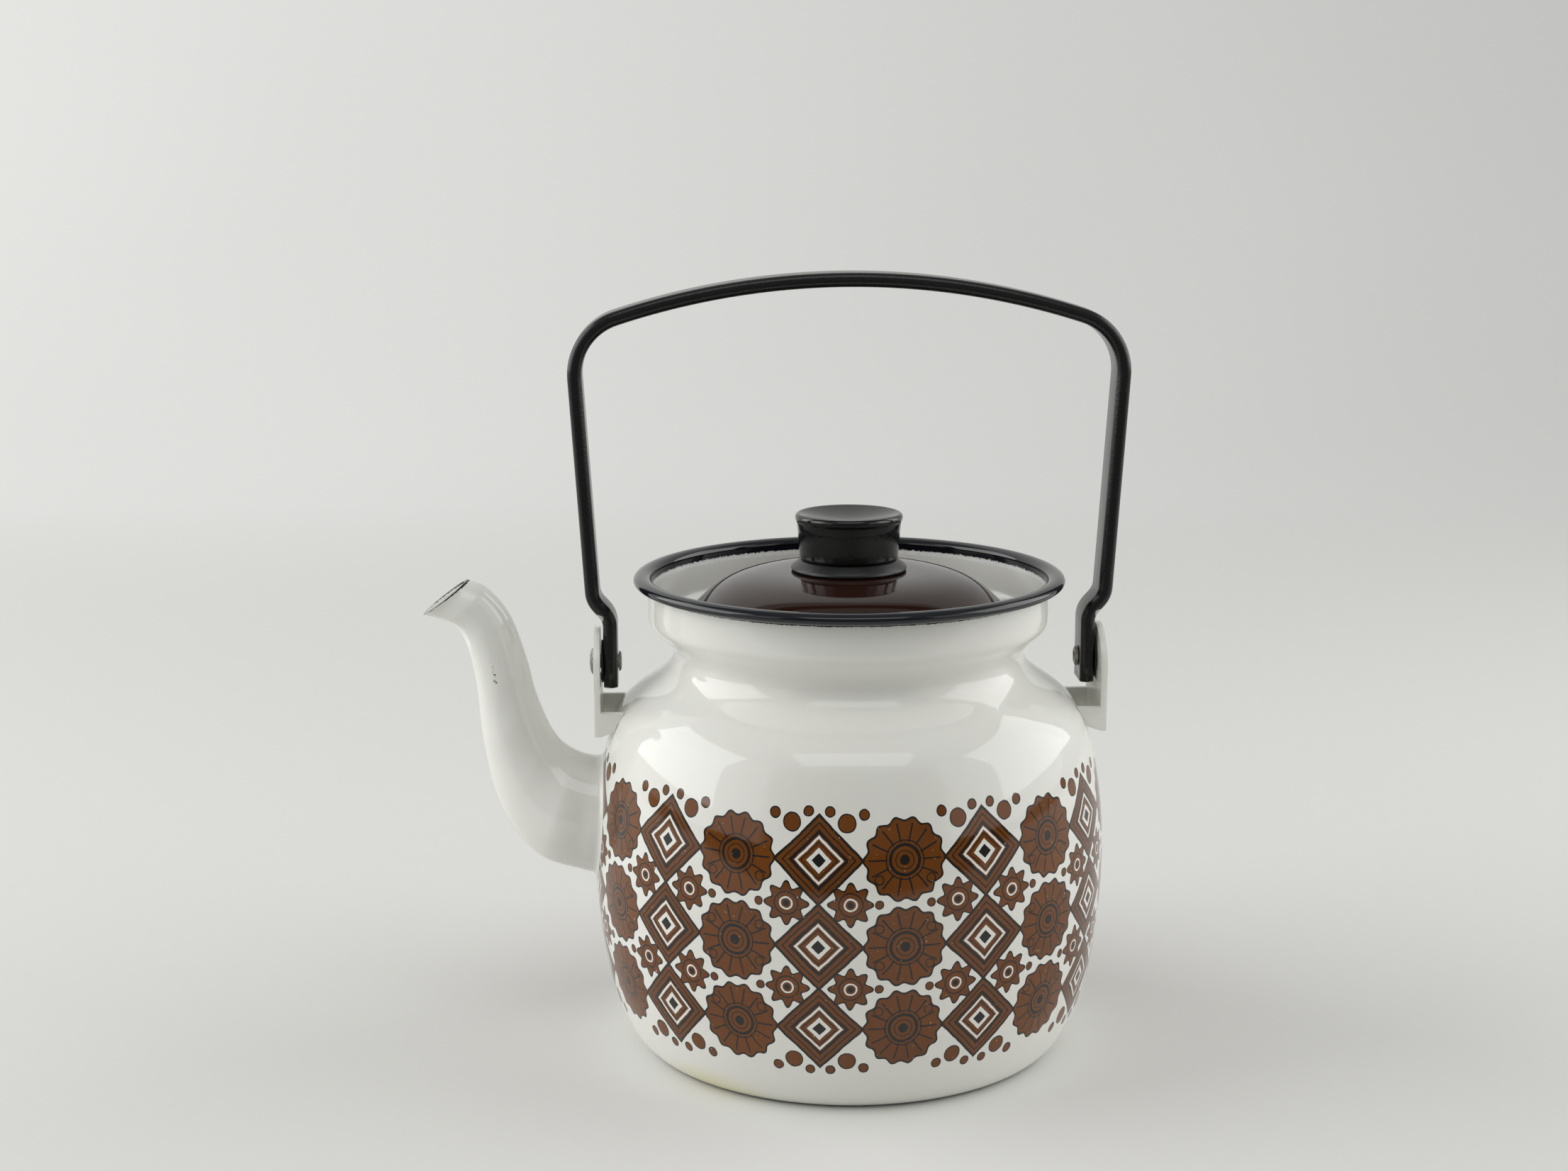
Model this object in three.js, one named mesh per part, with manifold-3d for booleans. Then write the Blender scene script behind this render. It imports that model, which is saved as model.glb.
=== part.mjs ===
// Enamel coffee pot with a loose lid and a swinging bail, in millimetres.
// The origin is the middle of the base on the surface it stands on, +Z is up and the spout points to -X.
import * as THREE from 'three';
import { mergeVertices } from 'three/addons/utils/BufferGeometryUtils.js';
import Module from 'manifold-3d';

const wasm = await Module();
wasm.setup();

// Sheet and clearances
const WALL = 1.2; // enamelled sheet with both coats
const FIT_GAP = 0.3; // between pieces that rest on one another
const WASHER_GAP = 0.2; // on each side of a pivot washer
const CUT_OVERRUN = 4; // how far a cutter runs past what it cuts

// Body, from the foot up to the rolled rim. Each rise is above the place named before it
const FOOT_RADIUS = 62.8;
const BELLY_RADIUS = 80;
const BELLY_HEIGHT = 63;
const SHOULDER_SET_IN = 6.5; // inside the belly's radius, as the next two
const SHOULDER_RISE = 41.5;
const SLOPE_SET_IN = 15.5;
const SLOPE_RISE = 9.7;
const NECK_SET_IN = 25.4;
const NECK_RISE = 10.8;
const COLLAR_SET_OUT = 7.9; // outside the neck's radius
const COLLAR_RISE = 11.5;
const RIM_RISE = 11.1;
const RIM_BEAD_WIDTH = 5.6;
const RIM_BEAD_HEIGHT = 3.6; // the bead is rolled and pressed flat

// Handles of the body's bowed stretches, each pair as shares of the box between the stretch's ends
const FOOT_BOW_SHARES = [[0.59, 0.024], [1, 0.48]];
const BELLY_BOW_SHARES = [[0, 0.41], [0.54, 0.82]];
const SHOULDER_BOW_SHARES = [[0.19, 0.41], [0.56, 0.7]];
const NECK_BOW_SHARES = [[0.56, 0.35], [0.98, 0.58]];
const FLARE_BOW_SHARES = [[0, 0.39], [1, 0.565]];

// Spout
const SPOUT_ROOT_RISE = 9.6; // of the root's middle above the belly
const SPOUT_REACH = 51.7; // from the belly out to the pouring lip
const SPOUT_RISE = 75.4; // from the root's middle up to the mouth's top
// Each station gives the underside, then the upper side: reach share and rise share
const SPOUT_STATION_SHARES = [
  [-0.14, -0.26, -0.16, 0.24],
  [0.09, -0.23, 0.02, 0.248],
  [0.36, -0.158, 0.145, 0.284],
  [0.565, 0.037, 0.245, 0.36],
  [0.66, 0.298, 0.34, 0.52],
  [0.7, 0.575, 0.392, 0.665],
  [0.765, 0.76, 0.487, 0.852],
  [0.87, 0.83, 0.62, 0.965],
  [1, 0.858, 0.73, 1],
];
const STRAINER_HOLE_RADIUS = 2.2;
const STRAINER_PITCH = 7.2;

// Bail, a flattened tube bent in one plane
const BAIL_RISE = 120.2; // of its top above the pivot
const BAIL_SPREAD = 8.6; // of its outer faces past the ears' inner faces, where the corners start
const BAIL_ARCH_RADIUS = 233;
const BAIL_CORNER_RADIUS = 20.3;
const BAIL_LEAN = THREE.MathUtils.degToRad(3.6);
const BAIL_WIDTH = 14;
const BAIL_THICKNESS = 4.4;
const BAIL_EDGE_RADIUS = 2;
const BAIL_WALL = 1;
const BAIL_FOOT_DROP = 7.1; // leg end below the pivot
const JOGGLE_START = 11.7; // above the pivot
const JOGGLE_END = 22.8;
const JOGGLE_BOW_SHARE = 0.5;

// Ears, washers and rivets
const PIVOT_RISE = 17.3; // above the body's shoulder
const EAR_SET_IN = 2.7; // of its inner face inside the belly's radius
const EAR_SHEET = 2;
const EAR_WIDTH = 28.4;
const EAR_TOP = 10.8; // above the pivot
const EAR_FOOT_DROP = 20.9; // below the pivot
const FLANGE_HEIGHT = 7.5;
const FLANGE_CORNER_RADIUS = 1.8;
const WASHER_RADIUS = 6.7;
const WASHER_THICKNESS = 0.5;
const RIVET_SHANK_RADIUS = 2.2;
const RIVET_HEAD_RADIUS = 4.2;
const RIVET_HEAD_RISE = 1.2;
const RIVET_CLENCH_RADIUS = 3.15;
const RIVET_CLENCH_RISE = 0.8;
const RIVET_BORE_RADIUS = 1.3;
const RIVET_BORE_DEPTH = 3.5;

// Lid
const LID_SET_OUT = 2.4; // of its edge outside the neck's radius
const LID_RISE = 19.6; // from the underside of the folded edge to the flat crown
const LID_EDGE_ANGLE = THREE.MathUtils.degToRad(60); // where the dome runs into its folded edge
const LID_NECK_GAP = 0.9; // round the skirt inside the neck
const LID_SKIRT_DROP = 8;
const LID_HOLE_RADIUS = 2.4;

// Knob and what holds it
const KNOB_LIP_RADIUS = 16.7;
const KNOB_LIP_HEIGHT = 2.4;
const KNOB_DISH_RADIUS = 15.5;
const KNOB_DISH_DEPTH = 2.6;
const KNOB_TOP_RADIUS = 16.3;
const KNOB_FOOT_RADIUS = 15.3;
const KNOB_HEIGHT = 14.1;
const KNOB_FOOT_ROUND = 0.7;
const SKIRT_RING_RADIUS = 17.9;
const SKIRT_RING_EDGE = 1;
const SKIRT_RING_HEIGHT = 3.2;
const SKIRT_RING_TOP_RADIUS = 15;
const INSERT_RADIUS = 3.5;
const INSERT_LENGTH = 8;
const INSERT_BORE_RADIUS = 2.2;
const SCREW_RADIUS = 1.9;
const SCREW_GRIP = 6.5; // thread length inside the insert
const SCREW_HEAD_RADIUS = 4;
const SCREW_HEAD_HEIGHT = 2.4;
const SCREW_SLOT_WIDTH = 1.2;
const SCREW_SLOT_DEPTH = 1.1;
const SCREW_WASHER_RADIUS = 5.5;
const SCREW_WASHER_THICKNESS = 1;

// Handles of the lid's dome, the domed rivet head, the screw's pan head and the knob's dish
const LID_BOW_SHARES = [[0.7, 0.01], [0.645, 0.55]];
const DOME_BOW_SHARES = [[0, 0.6], [0.4, 1]];
const PAN_BOW_SHARES = [[0.7, 0], [1, 0.4]];
const DISH_BOW_SHARES = [[0.35, 0.6], [0.7, 1]];

// Facets
const BODY_SEGMENTS = 48;
const LID_SEGMENTS = 40;
const KNOB_SEGMENTS = 28;
const SMALL_SEGMENTS = 16;
const HOLE_SEGMENTS = 10;
const SPOUT_STEPS = 19;
const SPOUT_SIDES = 18;
const CORNER_POINTS = 3;

// Places that follow from the sizes
const neckRadius = BELLY_RADIUS - NECK_SET_IN;
const collarRadius = neckRadius + COLLAR_SET_OUT;
const shoulderHeight = BELLY_HEIGHT + SHOULDER_RISE;
const slopeHeight = shoulderHeight + SLOPE_RISE;
const neckHeight = slopeHeight + NECK_RISE;
const collarHeight = neckHeight + COLLAR_RISE;
const rimHeight = collarHeight + RIM_RISE;
const spoutRootHeight = BELLY_HEIGHT + SPOUT_ROOT_RISE;
const pivotHeight = shoulderHeight + PIVOT_RISE;
const earInnerReach = BELLY_RADIUS - EAR_SET_IN;
const bailHalfSpan = earInnerReach + BAIL_SPREAD;
const lidRadius = neckRadius + LID_SET_OUT;

// Solids and surfaces

function mergedGeometry(geometry) {
  const bare = geometry.clone();
  bare.deleteAttribute('normal');
  bare.deleteAttribute('uv');
  const merged = mergeVertices(bare);
  const kept = [];
  const corners = merged.index.array;
  for (let i = 0; i < corners.length; i += 3) {
    const [a, b, c] = [corners[i], corners[i + 1], corners[i + 2]];
    if (a !== b && b !== c && c !== a) kept.push(a, b, c);
  }
  merged.setIndex(kept);
  return merged;
}

function toSolid(geometry) {
  const merged = mergedGeometry(geometry);
  const mesh = new wasm.Mesh({
    numProp: 3,
    vertProperties: new Float32Array(merged.attributes.position.array),
    triVerts: new Uint32Array(merged.index.array),
  });
  return new wasm.Manifold(mesh);
}

function toGeometry(solid) {
  const mesh = solid.getMesh();
  const geometry = new THREE.BufferGeometry();
  geometry.setAttribute('position', new THREE.BufferAttribute(mesh.vertProperties, mesh.numProp));
  geometry.setIndex(new THREE.BufferAttribute(mesh.triVerts, 1));
  const flat = geometry.toNonIndexed();
  flat.computeVertexNormals();
  return flat;
}

// Turns an outline of [radius, height] round the Z axis
function revolve(outline, segments) {
  const points = outline.map(([radius, height]) => new THREE.Vector2(radius, height));
  return new THREE.LatheGeometry(points, segments).rotateX(Math.PI / 2);
}

function revolveLoop(outline, segments) {
  return revolve([...outline, outline[0]], segments);
}

// Tube open at both ends, from matching stacks of outer and inner rings
function pipe(outerRings, innerRings) {
  const sides = outerRings[0].length;
  const last = outerRings.length - 1;
  const outer = (ring, side) => ring * sides + (side % sides);
  const inner = (ring, side) => outer(ring + last + 1, side);
  const index = [];
  const quad = (a, b, c, d) => index.push(a, b, c, a, c, d);
  for (let side = 0; side < sides; side++) {
    const next = side + 1;
    for (let ring = 0; ring < last; ring++) {
      quad(outer(ring, side), outer(ring, next), outer(ring + 1, next), outer(ring + 1, side));
      quad(inner(ring, side), inner(ring + 1, side), inner(ring + 1, next), inner(ring, next));
    }
    quad(outer(0, side), inner(0, side), inner(0, next), outer(0, next));
    quad(outer(last, side), outer(last, next), inner(last, next), inner(last, side));
  }
  const geometry = new THREE.BufferGeometry();
  const points = [...outerRings, ...innerRings].flat().flatMap((point) => point.toArray());
  geometry.setAttribute('position', new THREE.Float32BufferAttribute(points, 3));
  geometry.setIndex(index);
  return geometry;
}

function rodAlongX(radius, from, to, segments) {
  const rod = new THREE.CylinderGeometry(radius, radius, to - from, segments).rotateZ(Math.PI / 2);
  return rod.translate((from + to) / 2, 0, 0);
}

// Outlines

// Bowed stretch between two points, its handles at shares of the box between them
function bowPoints(from, to, shares, steps) {
  const handle = ([across, up]) =>
    new THREE.Vector2(from[0] + across * (to[0] - from[0]), from[1] + up * (to[1] - from[1]));
  const curve = new THREE.CubicBezierCurve(
    new THREE.Vector2(...from), handle(shares[0]), handle(shares[1]), new THREE.Vector2(...to));
  return curve.getPoints(steps).map((point) => point.toArray());
}

function ovalPoints(center, halfWidth, halfHeight, fromAngle, toAngle, steps) {
  return Array.from({ length: steps + 1 }, (_, i) => {
    const angle = fromAngle + (toAngle - fromAngle) * i / steps;
    return [center[0] + halfWidth * Math.cos(angle), center[1] + halfHeight * Math.sin(angle)];
  });
}

function arcPoints(center, radius, fromAngle, toAngle, steps) {
  return ovalPoints(center, radius, radius, fromAngle, toAngle, steps);
}

function ringSection(inner, outer, bottom, height) {
  return [[inner, bottom], [outer, bottom], [outer, bottom + height], [inner, bottom + height]];
}

// Moves an outline sideways, to its left for a positive distance
function offsetOutline(outline, distance) {
  return outline.map(([radius, height], i) => {
    const before = outline[Math.max(i - 1, 0)];
    const after = outline[Math.min(i + 1, outline.length - 1)];
    const along = new THREE.Vector2(after[0] - before[0], after[1] - before[1]).normalize();
    return [Math.max(radius - along.y * distance, 0), height + along.x * distance];
  });
}

const bodyStretches = [
  { to: [BELLY_RADIUS, BELLY_HEIGHT], shares: FOOT_BOW_SHARES, steps: 6 },
  { to: [BELLY_RADIUS - SHOULDER_SET_IN, shoulderHeight], shares: BELLY_BOW_SHARES, steps: 4 },
  { to: [BELLY_RADIUS - SLOPE_SET_IN, slopeHeight], shares: SHOULDER_BOW_SHARES, steps: 3 },
  { to: [neckRadius, neckHeight], shares: NECK_BOW_SHARES, steps: 4 },
  { to: [collarRadius, collarHeight], shares: FLARE_BOW_SHARES, steps: 4 },
];

// Outer face of the body from the middle of its base to the rim
function bodyOutline() {
  const outline = [[0, 0], [FOOT_RADIUS, 0]];
  for (const { to, shares, steps } of bodyStretches) {
    outline.push(...bowPoints(outline.at(-1), to, shares, steps).slice(1));
  }
  outline.push([collarRadius, rimHeight - FIT_GAP]);
  return outline;
}

const outerOutline = bodyOutline();

// What other pieces must stay out of, with the fitting gap
function bodyEnvelope() {
  const grown = offsetOutline(outerOutline, -FIT_GAP);
  const top = grown.at(-1)[1];
  return toSolid(revolve([...grown, [0, top]], BODY_SEGMENTS));
}

// Body

function strainerHoles() {
  const spots = [[0, 0]];
  for (let i = 0; i < 6; i++) {
    const angle = i * Math.PI / 3;
    const far = STRAINER_PITCH * Math.sqrt(3);
    spots.push([STRAINER_PITCH * Math.cos(angle), STRAINER_PITCH * Math.sin(angle)]);
    spots.push([far * Math.cos(angle + Math.PI / 6), far * Math.sin(angle + Math.PI / 6)]);
  }
  return spots.map(([across, up]) => {
    const rod = rodAlongX(STRAINER_HOLE_RADIUS, -BELLY_RADIUS - CUT_OVERRUN, -neckRadius, HOLE_SEGMENTS);
    return toSolid(rod.translate(0, across, spoutRootHeight + up));
  });
}

function bodyShell() {
  const inner = offsetOutline(outerOutline, WALL).reverse();
  let shell = toSolid(revolve([...outerOutline, ...inner], BODY_SEGMENTS));
  for (const hole of strainerHoles()) shell = shell.subtract(hole);
  return toGeometry(shell);
}

// The sheet curls outwards from the collar's inner face, over and back under to the collar's outer face
function rimBead() {
  const reach = RIM_BEAD_WIDTH / 2;
  const half = RIM_BEAD_HEIGHT / 2;
  const center = [collarRadius - WALL + reach, rimHeight];
  const tuck = Math.acos((collarRadius + FIT_GAP - center[0]) / reach);
  const outside = ovalPoints(center, reach, half, -tuck, Math.PI, 9);
  const inside = ovalPoints(center, reach - WALL, half - WALL, Math.PI, -tuck, 5);
  return revolveLoop([...outside, ...inside], BODY_SEGMENTS);
}

// Spout

function spoutPoint(reachShare, riseShare) {
  return new THREE.Vector2(
    -BELLY_RADIUS - reachShare * SPOUT_REACH, spoutRootHeight + riseShare * SPOUT_RISE);
}

// Sections stand across the spout between its underside and its upper side, and are as wide as it is deep
function spoutRings(inset) {
  const under = new THREE.SplineCurve(SPOUT_STATION_SHARES.map(([r, h]) => spoutPoint(r, h)));
  const upper = new THREE.SplineCurve(SPOUT_STATION_SHARES.map(([, , r, h]) => spoutPoint(r, h)));
  return Array.from({ length: SPOUT_STEPS + 1 }, (_, i) => {
    const t = i / SPOUT_STEPS;
    const span = upper.getPoint(t).sub(under.getPoint(t));
    const along = upper.getTangent(t).add(under.getTangent(t)).normalize();
    const slant = Math.abs(span.clone().normalize().cross(along));
    const middle = upper.getPoint(t).add(under.getPoint(t)).multiplyScalar(0.5);
    const depth = span.clone().normalize().multiplyScalar(span.length() / 2 - inset / slant);
    const width = span.length() / 2 * slant - inset;
    return Array.from({ length: SPOUT_SIDES }, (_, side) => {
      const angle = side * 2 * Math.PI / SPOUT_SIDES;
      const point = middle.clone().addScaledVector(depth, Math.cos(angle));
      return new THREE.Vector3(point.x, width * Math.sin(angle), point.y);
    });
  });
}

function spout() {
  return toGeometry(toSolid(pipe(spoutRings(0), spoutRings(WALL))).subtract(bodyEnvelope()));
}

// Bail

function bailPath() {
  const half = BAIL_THICKNESS / 2;
  const archRadius = BAIL_ARCH_RADIUS - half;
  const cornerRadius = BAIL_CORNER_RADIUS - half;
  const archBottom = BAIL_RISE - BAIL_ARCH_RADIUS;
  const cornerX = bailHalfSpan - BAIL_CORNER_RADIUS;
  const cornerZ = archBottom + Math.sqrt((BAIL_ARCH_RADIUS - BAIL_CORNER_RADIUS) ** 2 - cornerX ** 2);
  const archAngle = Math.atan2(cornerZ - archBottom, cornerX);
  const footX = earInnerReach - 2 * WASHER_GAP - WASHER_THICKNESS - half;
  const legX = (z) => cornerX + cornerRadius * Math.cos(BAIL_LEAN)
    - (cornerZ - cornerRadius * Math.sin(BAIL_LEAN) - z) * Math.tan(BAIL_LEAN);
  const bowZ = (JOGGLE_END - JOGGLE_START) * JOGGLE_BOW_SHARE;
  const path = new THREE.Path();
  path.moveTo(-footX, -BAIL_FOOT_DROP);
  path.lineTo(-footX, JOGGLE_START);
  path.bezierCurveTo(-footX, JOGGLE_START + bowZ,
    -legX(JOGGLE_END - bowZ), JOGGLE_END - bowZ, -legX(JOGGLE_END), JOGGLE_END);
  path.absarc(-cornerX, cornerZ, cornerRadius, Math.PI + BAIL_LEAN, Math.PI - archAngle, true);
  path.absarc(0, archBottom, archRadius, Math.PI - archAngle, archAngle, true);
  path.absarc(cornerX, cornerZ, cornerRadius, archAngle, -BAIL_LEAN, true);
  path.lineTo(legX(JOGGLE_END), JOGGLE_END);
  path.bezierCurveTo(legX(JOGGLE_END - bowZ), JOGGLE_END - bowZ,
    footX, JOGGLE_START + bowZ, footX, JOGGLE_START);
  path.lineTo(footX, -BAIL_FOOT_DROP);
  return path;
}

function bailStations() {
  const stepsOf = (curve) => {
    if (curve.isLineCurve) return 1;
    return curve.xRadius > BAIL_CORNER_RADIUS ? 10 : 5;
  };
  return bailPath().curves.flatMap((curve, i) => {
    const steps = stepsOf(curve);
    const shares = Array.from({ length: steps + 1 }, (_, k) => k / steps).slice(i ? 1 : 0);
    return shares.map((t) => ({ at: curve.getPoint(t), along: curve.getTangent(t) }));
  });
}

// Rounded oblong section as [through the thickness, across the width]
function oblong(thickness, width, radius) {
  const [u, v] = [thickness / 2 - radius, width / 2 - radius];
  const centers = [[u, v], [-u, v], [-u, -v], [u, -v]];
  return centers.flatMap((center, quarter) => {
    const start = quarter * Math.PI / 2;
    return arcPoints(center, radius, start, start + Math.PI / 2, CORNER_POINTS - 1);
  });
}

function bailRings(inset) {
  const section = oblong(BAIL_THICKNESS - 2 * inset, BAIL_WIDTH - 2 * inset, BAIL_EDGE_RADIUS - inset);
  return bailStations().map(({ at, along }) =>
    section.map(([u, v]) => new THREE.Vector3(at.x + along.y * u, v, at.y - along.x * u)));
}

function bail() {
  const hole = rodAlongX(RIVET_SHANK_RADIUS + FIT_GAP, -bailHalfSpan, bailHalfSpan, SMALL_SEGMENTS);
  return toGeometry(toSolid(pipe(bailRings(0), bailRings(BAIL_WALL))).subtract(toSolid(hole)));
}

// Ear on the +X side, in the frame of its pivot

function earPlate() {
  const half = EAR_WIDTH / 2;
  const foot = -EAR_FOOT_DROP;
  const shape = new THREE.Shape();
  shape.moveTo(-half, foot);
  shape.lineTo(half, foot);
  shape.absarc(0, EAR_TOP - half, half, 0, Math.PI, false);
  shape.closePath();
  const hole = new THREE.Path();
  hole.absarc(0, 0, RIVET_SHANK_RADIUS + FIT_GAP, 0, 2 * Math.PI, true);
  shape.holes.push(hole);
  const plate = new THREE.ExtrudeGeometry(shape, {
    depth: EAR_SHEET, bevelEnabled: false, curveSegments: SMALL_SEGMENTS / 2,
  });
  return plate.rotateX(Math.PI / 2).rotateZ(Math.PI / 2).translate(earInnerReach, 0, 0);
}

function earFlange(side) {
  const foot = -EAR_FOOT_DROP;
  const reach = earInnerReach + EAR_SHEET;
  const shape = new THREE.Shape();
  shape.moveTo(neckRadius, foot);
  shape.absarc(reach - FLANGE_CORNER_RADIUS, foot + FLANGE_CORNER_RADIUS,
    FLANGE_CORNER_RADIUS, -Math.PI / 2, 0, false);
  shape.lineTo(reach, foot + FLANGE_HEIGHT);
  shape.lineTo(neckRadius, foot + FLANGE_HEIGHT);
  shape.closePath();
  const flange = new THREE.ExtrudeGeometry(shape, {
    depth: EAR_SHEET, bevelEnabled: false, curveSegments: 4,
  });
  const face = EAR_WIDTH / 2;
  return flange.rotateX(Math.PI / 2).translate(0, side > 0 ? face : EAR_SHEET - face, 0);
}

function ear() {
  const bracket = toSolid(earPlate()).add(toSolid(earFlange(1))).add(toSolid(earFlange(-1)));
  return toGeometry(bracket.subtract(bodyEnvelope().translate([0, 0, -pivotHeight])));
}

// Pivot hardware on the +X side, in the frame of its pivot

function pivotWasher() {
  const near = earInnerReach - WASHER_GAP - WASHER_THICKNESS;
  const section = ringSection(RIVET_SHANK_RADIUS + FIT_GAP, WASHER_RADIUS, near, WASHER_THICKNESS);
  return revolveLoop(section, SMALL_SEGMENTS).rotateY(Math.PI / 2);
}

// Domed head outside, shank through ear and leg, hollow end rolled over inside the leg
function rivet() {
  const headFace = earInnerReach + EAR_SHEET + FIT_GAP;
  const legInner = earInnerReach - 2 * WASHER_GAP - WASHER_THICKNESS - BAIL_THICKNESS;
  const clenchFace = legInner - FIT_GAP;
  const end = clenchFace - RIVET_CLENCH_RISE;
  const roll = [(RIVET_CLENCH_RADIUS + RIVET_BORE_RADIUS) / 2, end];
  const outline = [
    [0, end + RIVET_BORE_DEPTH],
    [RIVET_BORE_RADIUS, end + RIVET_BORE_DEPTH],
    [RIVET_BORE_RADIUS, clenchFace],
    roll,
    [RIVET_CLENCH_RADIUS, clenchFace],
    [RIVET_SHANK_RADIUS, clenchFace],
    [RIVET_SHANK_RADIUS, headFace],
    ...bowPoints([RIVET_HEAD_RADIUS, headFace], [0, headFace + RIVET_HEAD_RISE], DOME_BOW_SHARES, 4),
  ];
  return revolve(outline, SMALL_SEGMENTS).rotateY(Math.PI / 2);
}

// Lid, in a frame whose height zero is the underside of its folded edge

const lidFold = [lidRadius - WALL, WALL];
const crownUnderside = LID_RISE - WALL;

// Outer face of the dome from the flat crown that carries the knob's ring to the folded edge
function domeOutline() {
  const crownEdge = [SKIRT_RING_RADIUS + FIT_GAP, LID_RISE];
  const foldTop = arcPoints(lidFold, WALL, LID_EDGE_ANGLE, LID_EDGE_ANGLE, 1)[0];
  return bowPoints(crownEdge, foldTop, LID_BOW_SHARES, 6);
}

// Height of the lid where its fold rests on the flare between neck and collar
function lidSeatHeight() {
  const track = offsetOutline(outerOutline, 2 * WALL + FIT_GAP);
  const flare = track.filter(([, height]) => height > neckHeight);
  const next = flare.findIndex(([radius]) => radius > lidFold[0]);
  const [below, above] = [flare[next - 1], flare[next]];
  const share = (lidFold[0] - below[0]) / (above[0] - below[0]);
  return below[1] + share * (above[1] - below[1]) - lidFold[1];
}

// One sheet: crown and dome, the edge folded back under itself, and the skirt
function lidShell() {
  const dome = domeOutline();
  const skirtOuter = neckRadius - WALL - LID_NECK_GAP;
  const skirtInner = skirtOuter - WALL;
  const outline = [
    [LID_HOLE_RADIUS, crownUnderside],
    ...offsetOutline(dome, -WALL),
    [skirtInner, lidFold[1]],
    [skirtInner, -LID_SKIRT_DROP],
    [skirtOuter, -LID_SKIRT_DROP],
    [skirtOuter, 0],
    ...arcPoints(lidFold, WALL, -Math.PI / 2, LID_EDGE_ANGLE, 4),
    ...dome.reverse().slice(1),
    [LID_HOLE_RADIUS, LID_RISE],
  ];
  return revolveLoop(outline, LID_SEGMENTS);
}

// Flared ring between the crown and the knob
const ringBottom = LID_RISE + FIT_GAP;
const ringTop = ringBottom + SKIRT_RING_HEIGHT;

function knobSkirt() {
  const outline = [
    [LID_HOLE_RADIUS, ringBottom],
    [SKIRT_RING_RADIUS, ringBottom],
    [SKIRT_RING_RADIUS, ringBottom + SKIRT_RING_EDGE],
    [SKIRT_RING_TOP_RADIUS, ringTop],
    [LID_HOLE_RADIUS, ringTop],
  ];
  return revolveLoop(outline, KNOB_SEGMENTS);
}

const knobFoot = ringTop + FIT_GAP;

function knob() {
  const top = knobFoot + KNOB_HEIGHT;
  const lipFoot = top - KNOB_LIP_HEIGHT;
  const bore = INSERT_RADIUS + FIT_GAP;
  const boreTop = knobFoot + INSERT_LENGTH + FIT_GAP;
  const lip = KNOB_LIP_RADIUS - KNOB_DISH_RADIUS;
  const outline = [
    [0, boreTop],
    [bore, boreTop],
    [bore, knobFoot],
    [KNOB_FOOT_RADIUS - KNOB_FOOT_ROUND, knobFoot],
    [KNOB_FOOT_RADIUS, knobFoot + KNOB_FOOT_ROUND],
    [KNOB_TOP_RADIUS, lipFoot],
    [KNOB_LIP_RADIUS, lipFoot + (KNOB_LIP_RADIUS - KNOB_TOP_RADIUS)],
    ...arcPoints([KNOB_DISH_RADIUS, top - lip], lip, 0, Math.PI / 2, 3),
    ...bowPoints([KNOB_DISH_RADIUS, top], [0, top - KNOB_DISH_DEPTH], DISH_BOW_SHARES, 6).slice(1),
  ];
  return revolve(outline, KNOB_SEGMENTS);
}

function knobInsert() {
  const section = ringSection(INSERT_BORE_RADIUS, INSERT_RADIUS, knobFoot, INSERT_LENGTH);
  return revolveLoop(section, SMALL_SEGMENTS);
}

const washerTop = crownUnderside - FIT_GAP;
const headTop = washerTop - SCREW_WASHER_THICKNESS - FIT_GAP;

function screwWasher() {
  const bottom = washerTop - SCREW_WASHER_THICKNESS;
  const section = ringSection(LID_HOLE_RADIUS, SCREW_WASHER_RADIUS, bottom, SCREW_WASHER_THICKNESS);
  return revolveLoop(section, SMALL_SEGMENTS);
}

function knobScrew() {
  const bottom = headTop - SCREW_HEAD_HEIGHT;
  const tip = knobFoot + SCREW_GRIP;
  const outline = [
    ...bowPoints([0, bottom], [SCREW_HEAD_RADIUS, headTop], PAN_BOW_SHARES, 3),
    [SCREW_RADIUS, headTop],
    [SCREW_RADIUS, tip - SCREW_RADIUS / 2],
    [SCREW_RADIUS / 2, tip],
    [0, tip],
  ];
  const slotLength = 2 * SCREW_HEAD_RADIUS + CUT_OVERRUN;
  const slot = new THREE.BoxGeometry(slotLength, SCREW_SLOT_WIDTH, 2 * SCREW_SLOT_DEPTH);
  const screw = toSolid(revolve(outline, SMALL_SEGMENTS));
  return toGeometry(screw.subtract(toSolid(slot.translate(0, 0, bottom))));
}

// Assembly

const finish = (color, roughness, metalness) => () =>
  new THREE.MeshStandardMaterial({ color, roughness, metalness });
const whiteEnamel = finish(0xf0f0ea, 0.2, 0);
const blackEnamel = finish(0x14171f, 0.15, 0);
const brownEnamel = finish(0x3a1c12, 0.12, 0);
const blackCoat = finish(0x191b1b, 0.4, 0);
const blackPlastic = finish(0x131414, 0.3, 0);
const satinPlastic = finish(0x1e2121, 0.5, 0);
const dullSteel = finish(0x8f8d88, 0.45, 1);
const brass = finish(0xb08d4a, 0.35, 1);

function piece(name, geometry, material) {
  const mesh = new THREE.Mesh(geometry, material);
  mesh.name = name;
  return mesh;
}

// What is fixed at one pivot, turned to its side of the pot
function pivotSide(side, turn) {
  const group = new THREE.Group();
  group.position.z = pivotHeight;
  group.rotation.z = turn;
  group.add(
    piece(`${side}_ear`, ear(), whiteEnamel()),
    piece(`${side}_rivet`, rivet(), dullSteel()),
    piece(`${side}_washer`, pivotWasher(), blackPlastic()),
  );
  return group;
}

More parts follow.
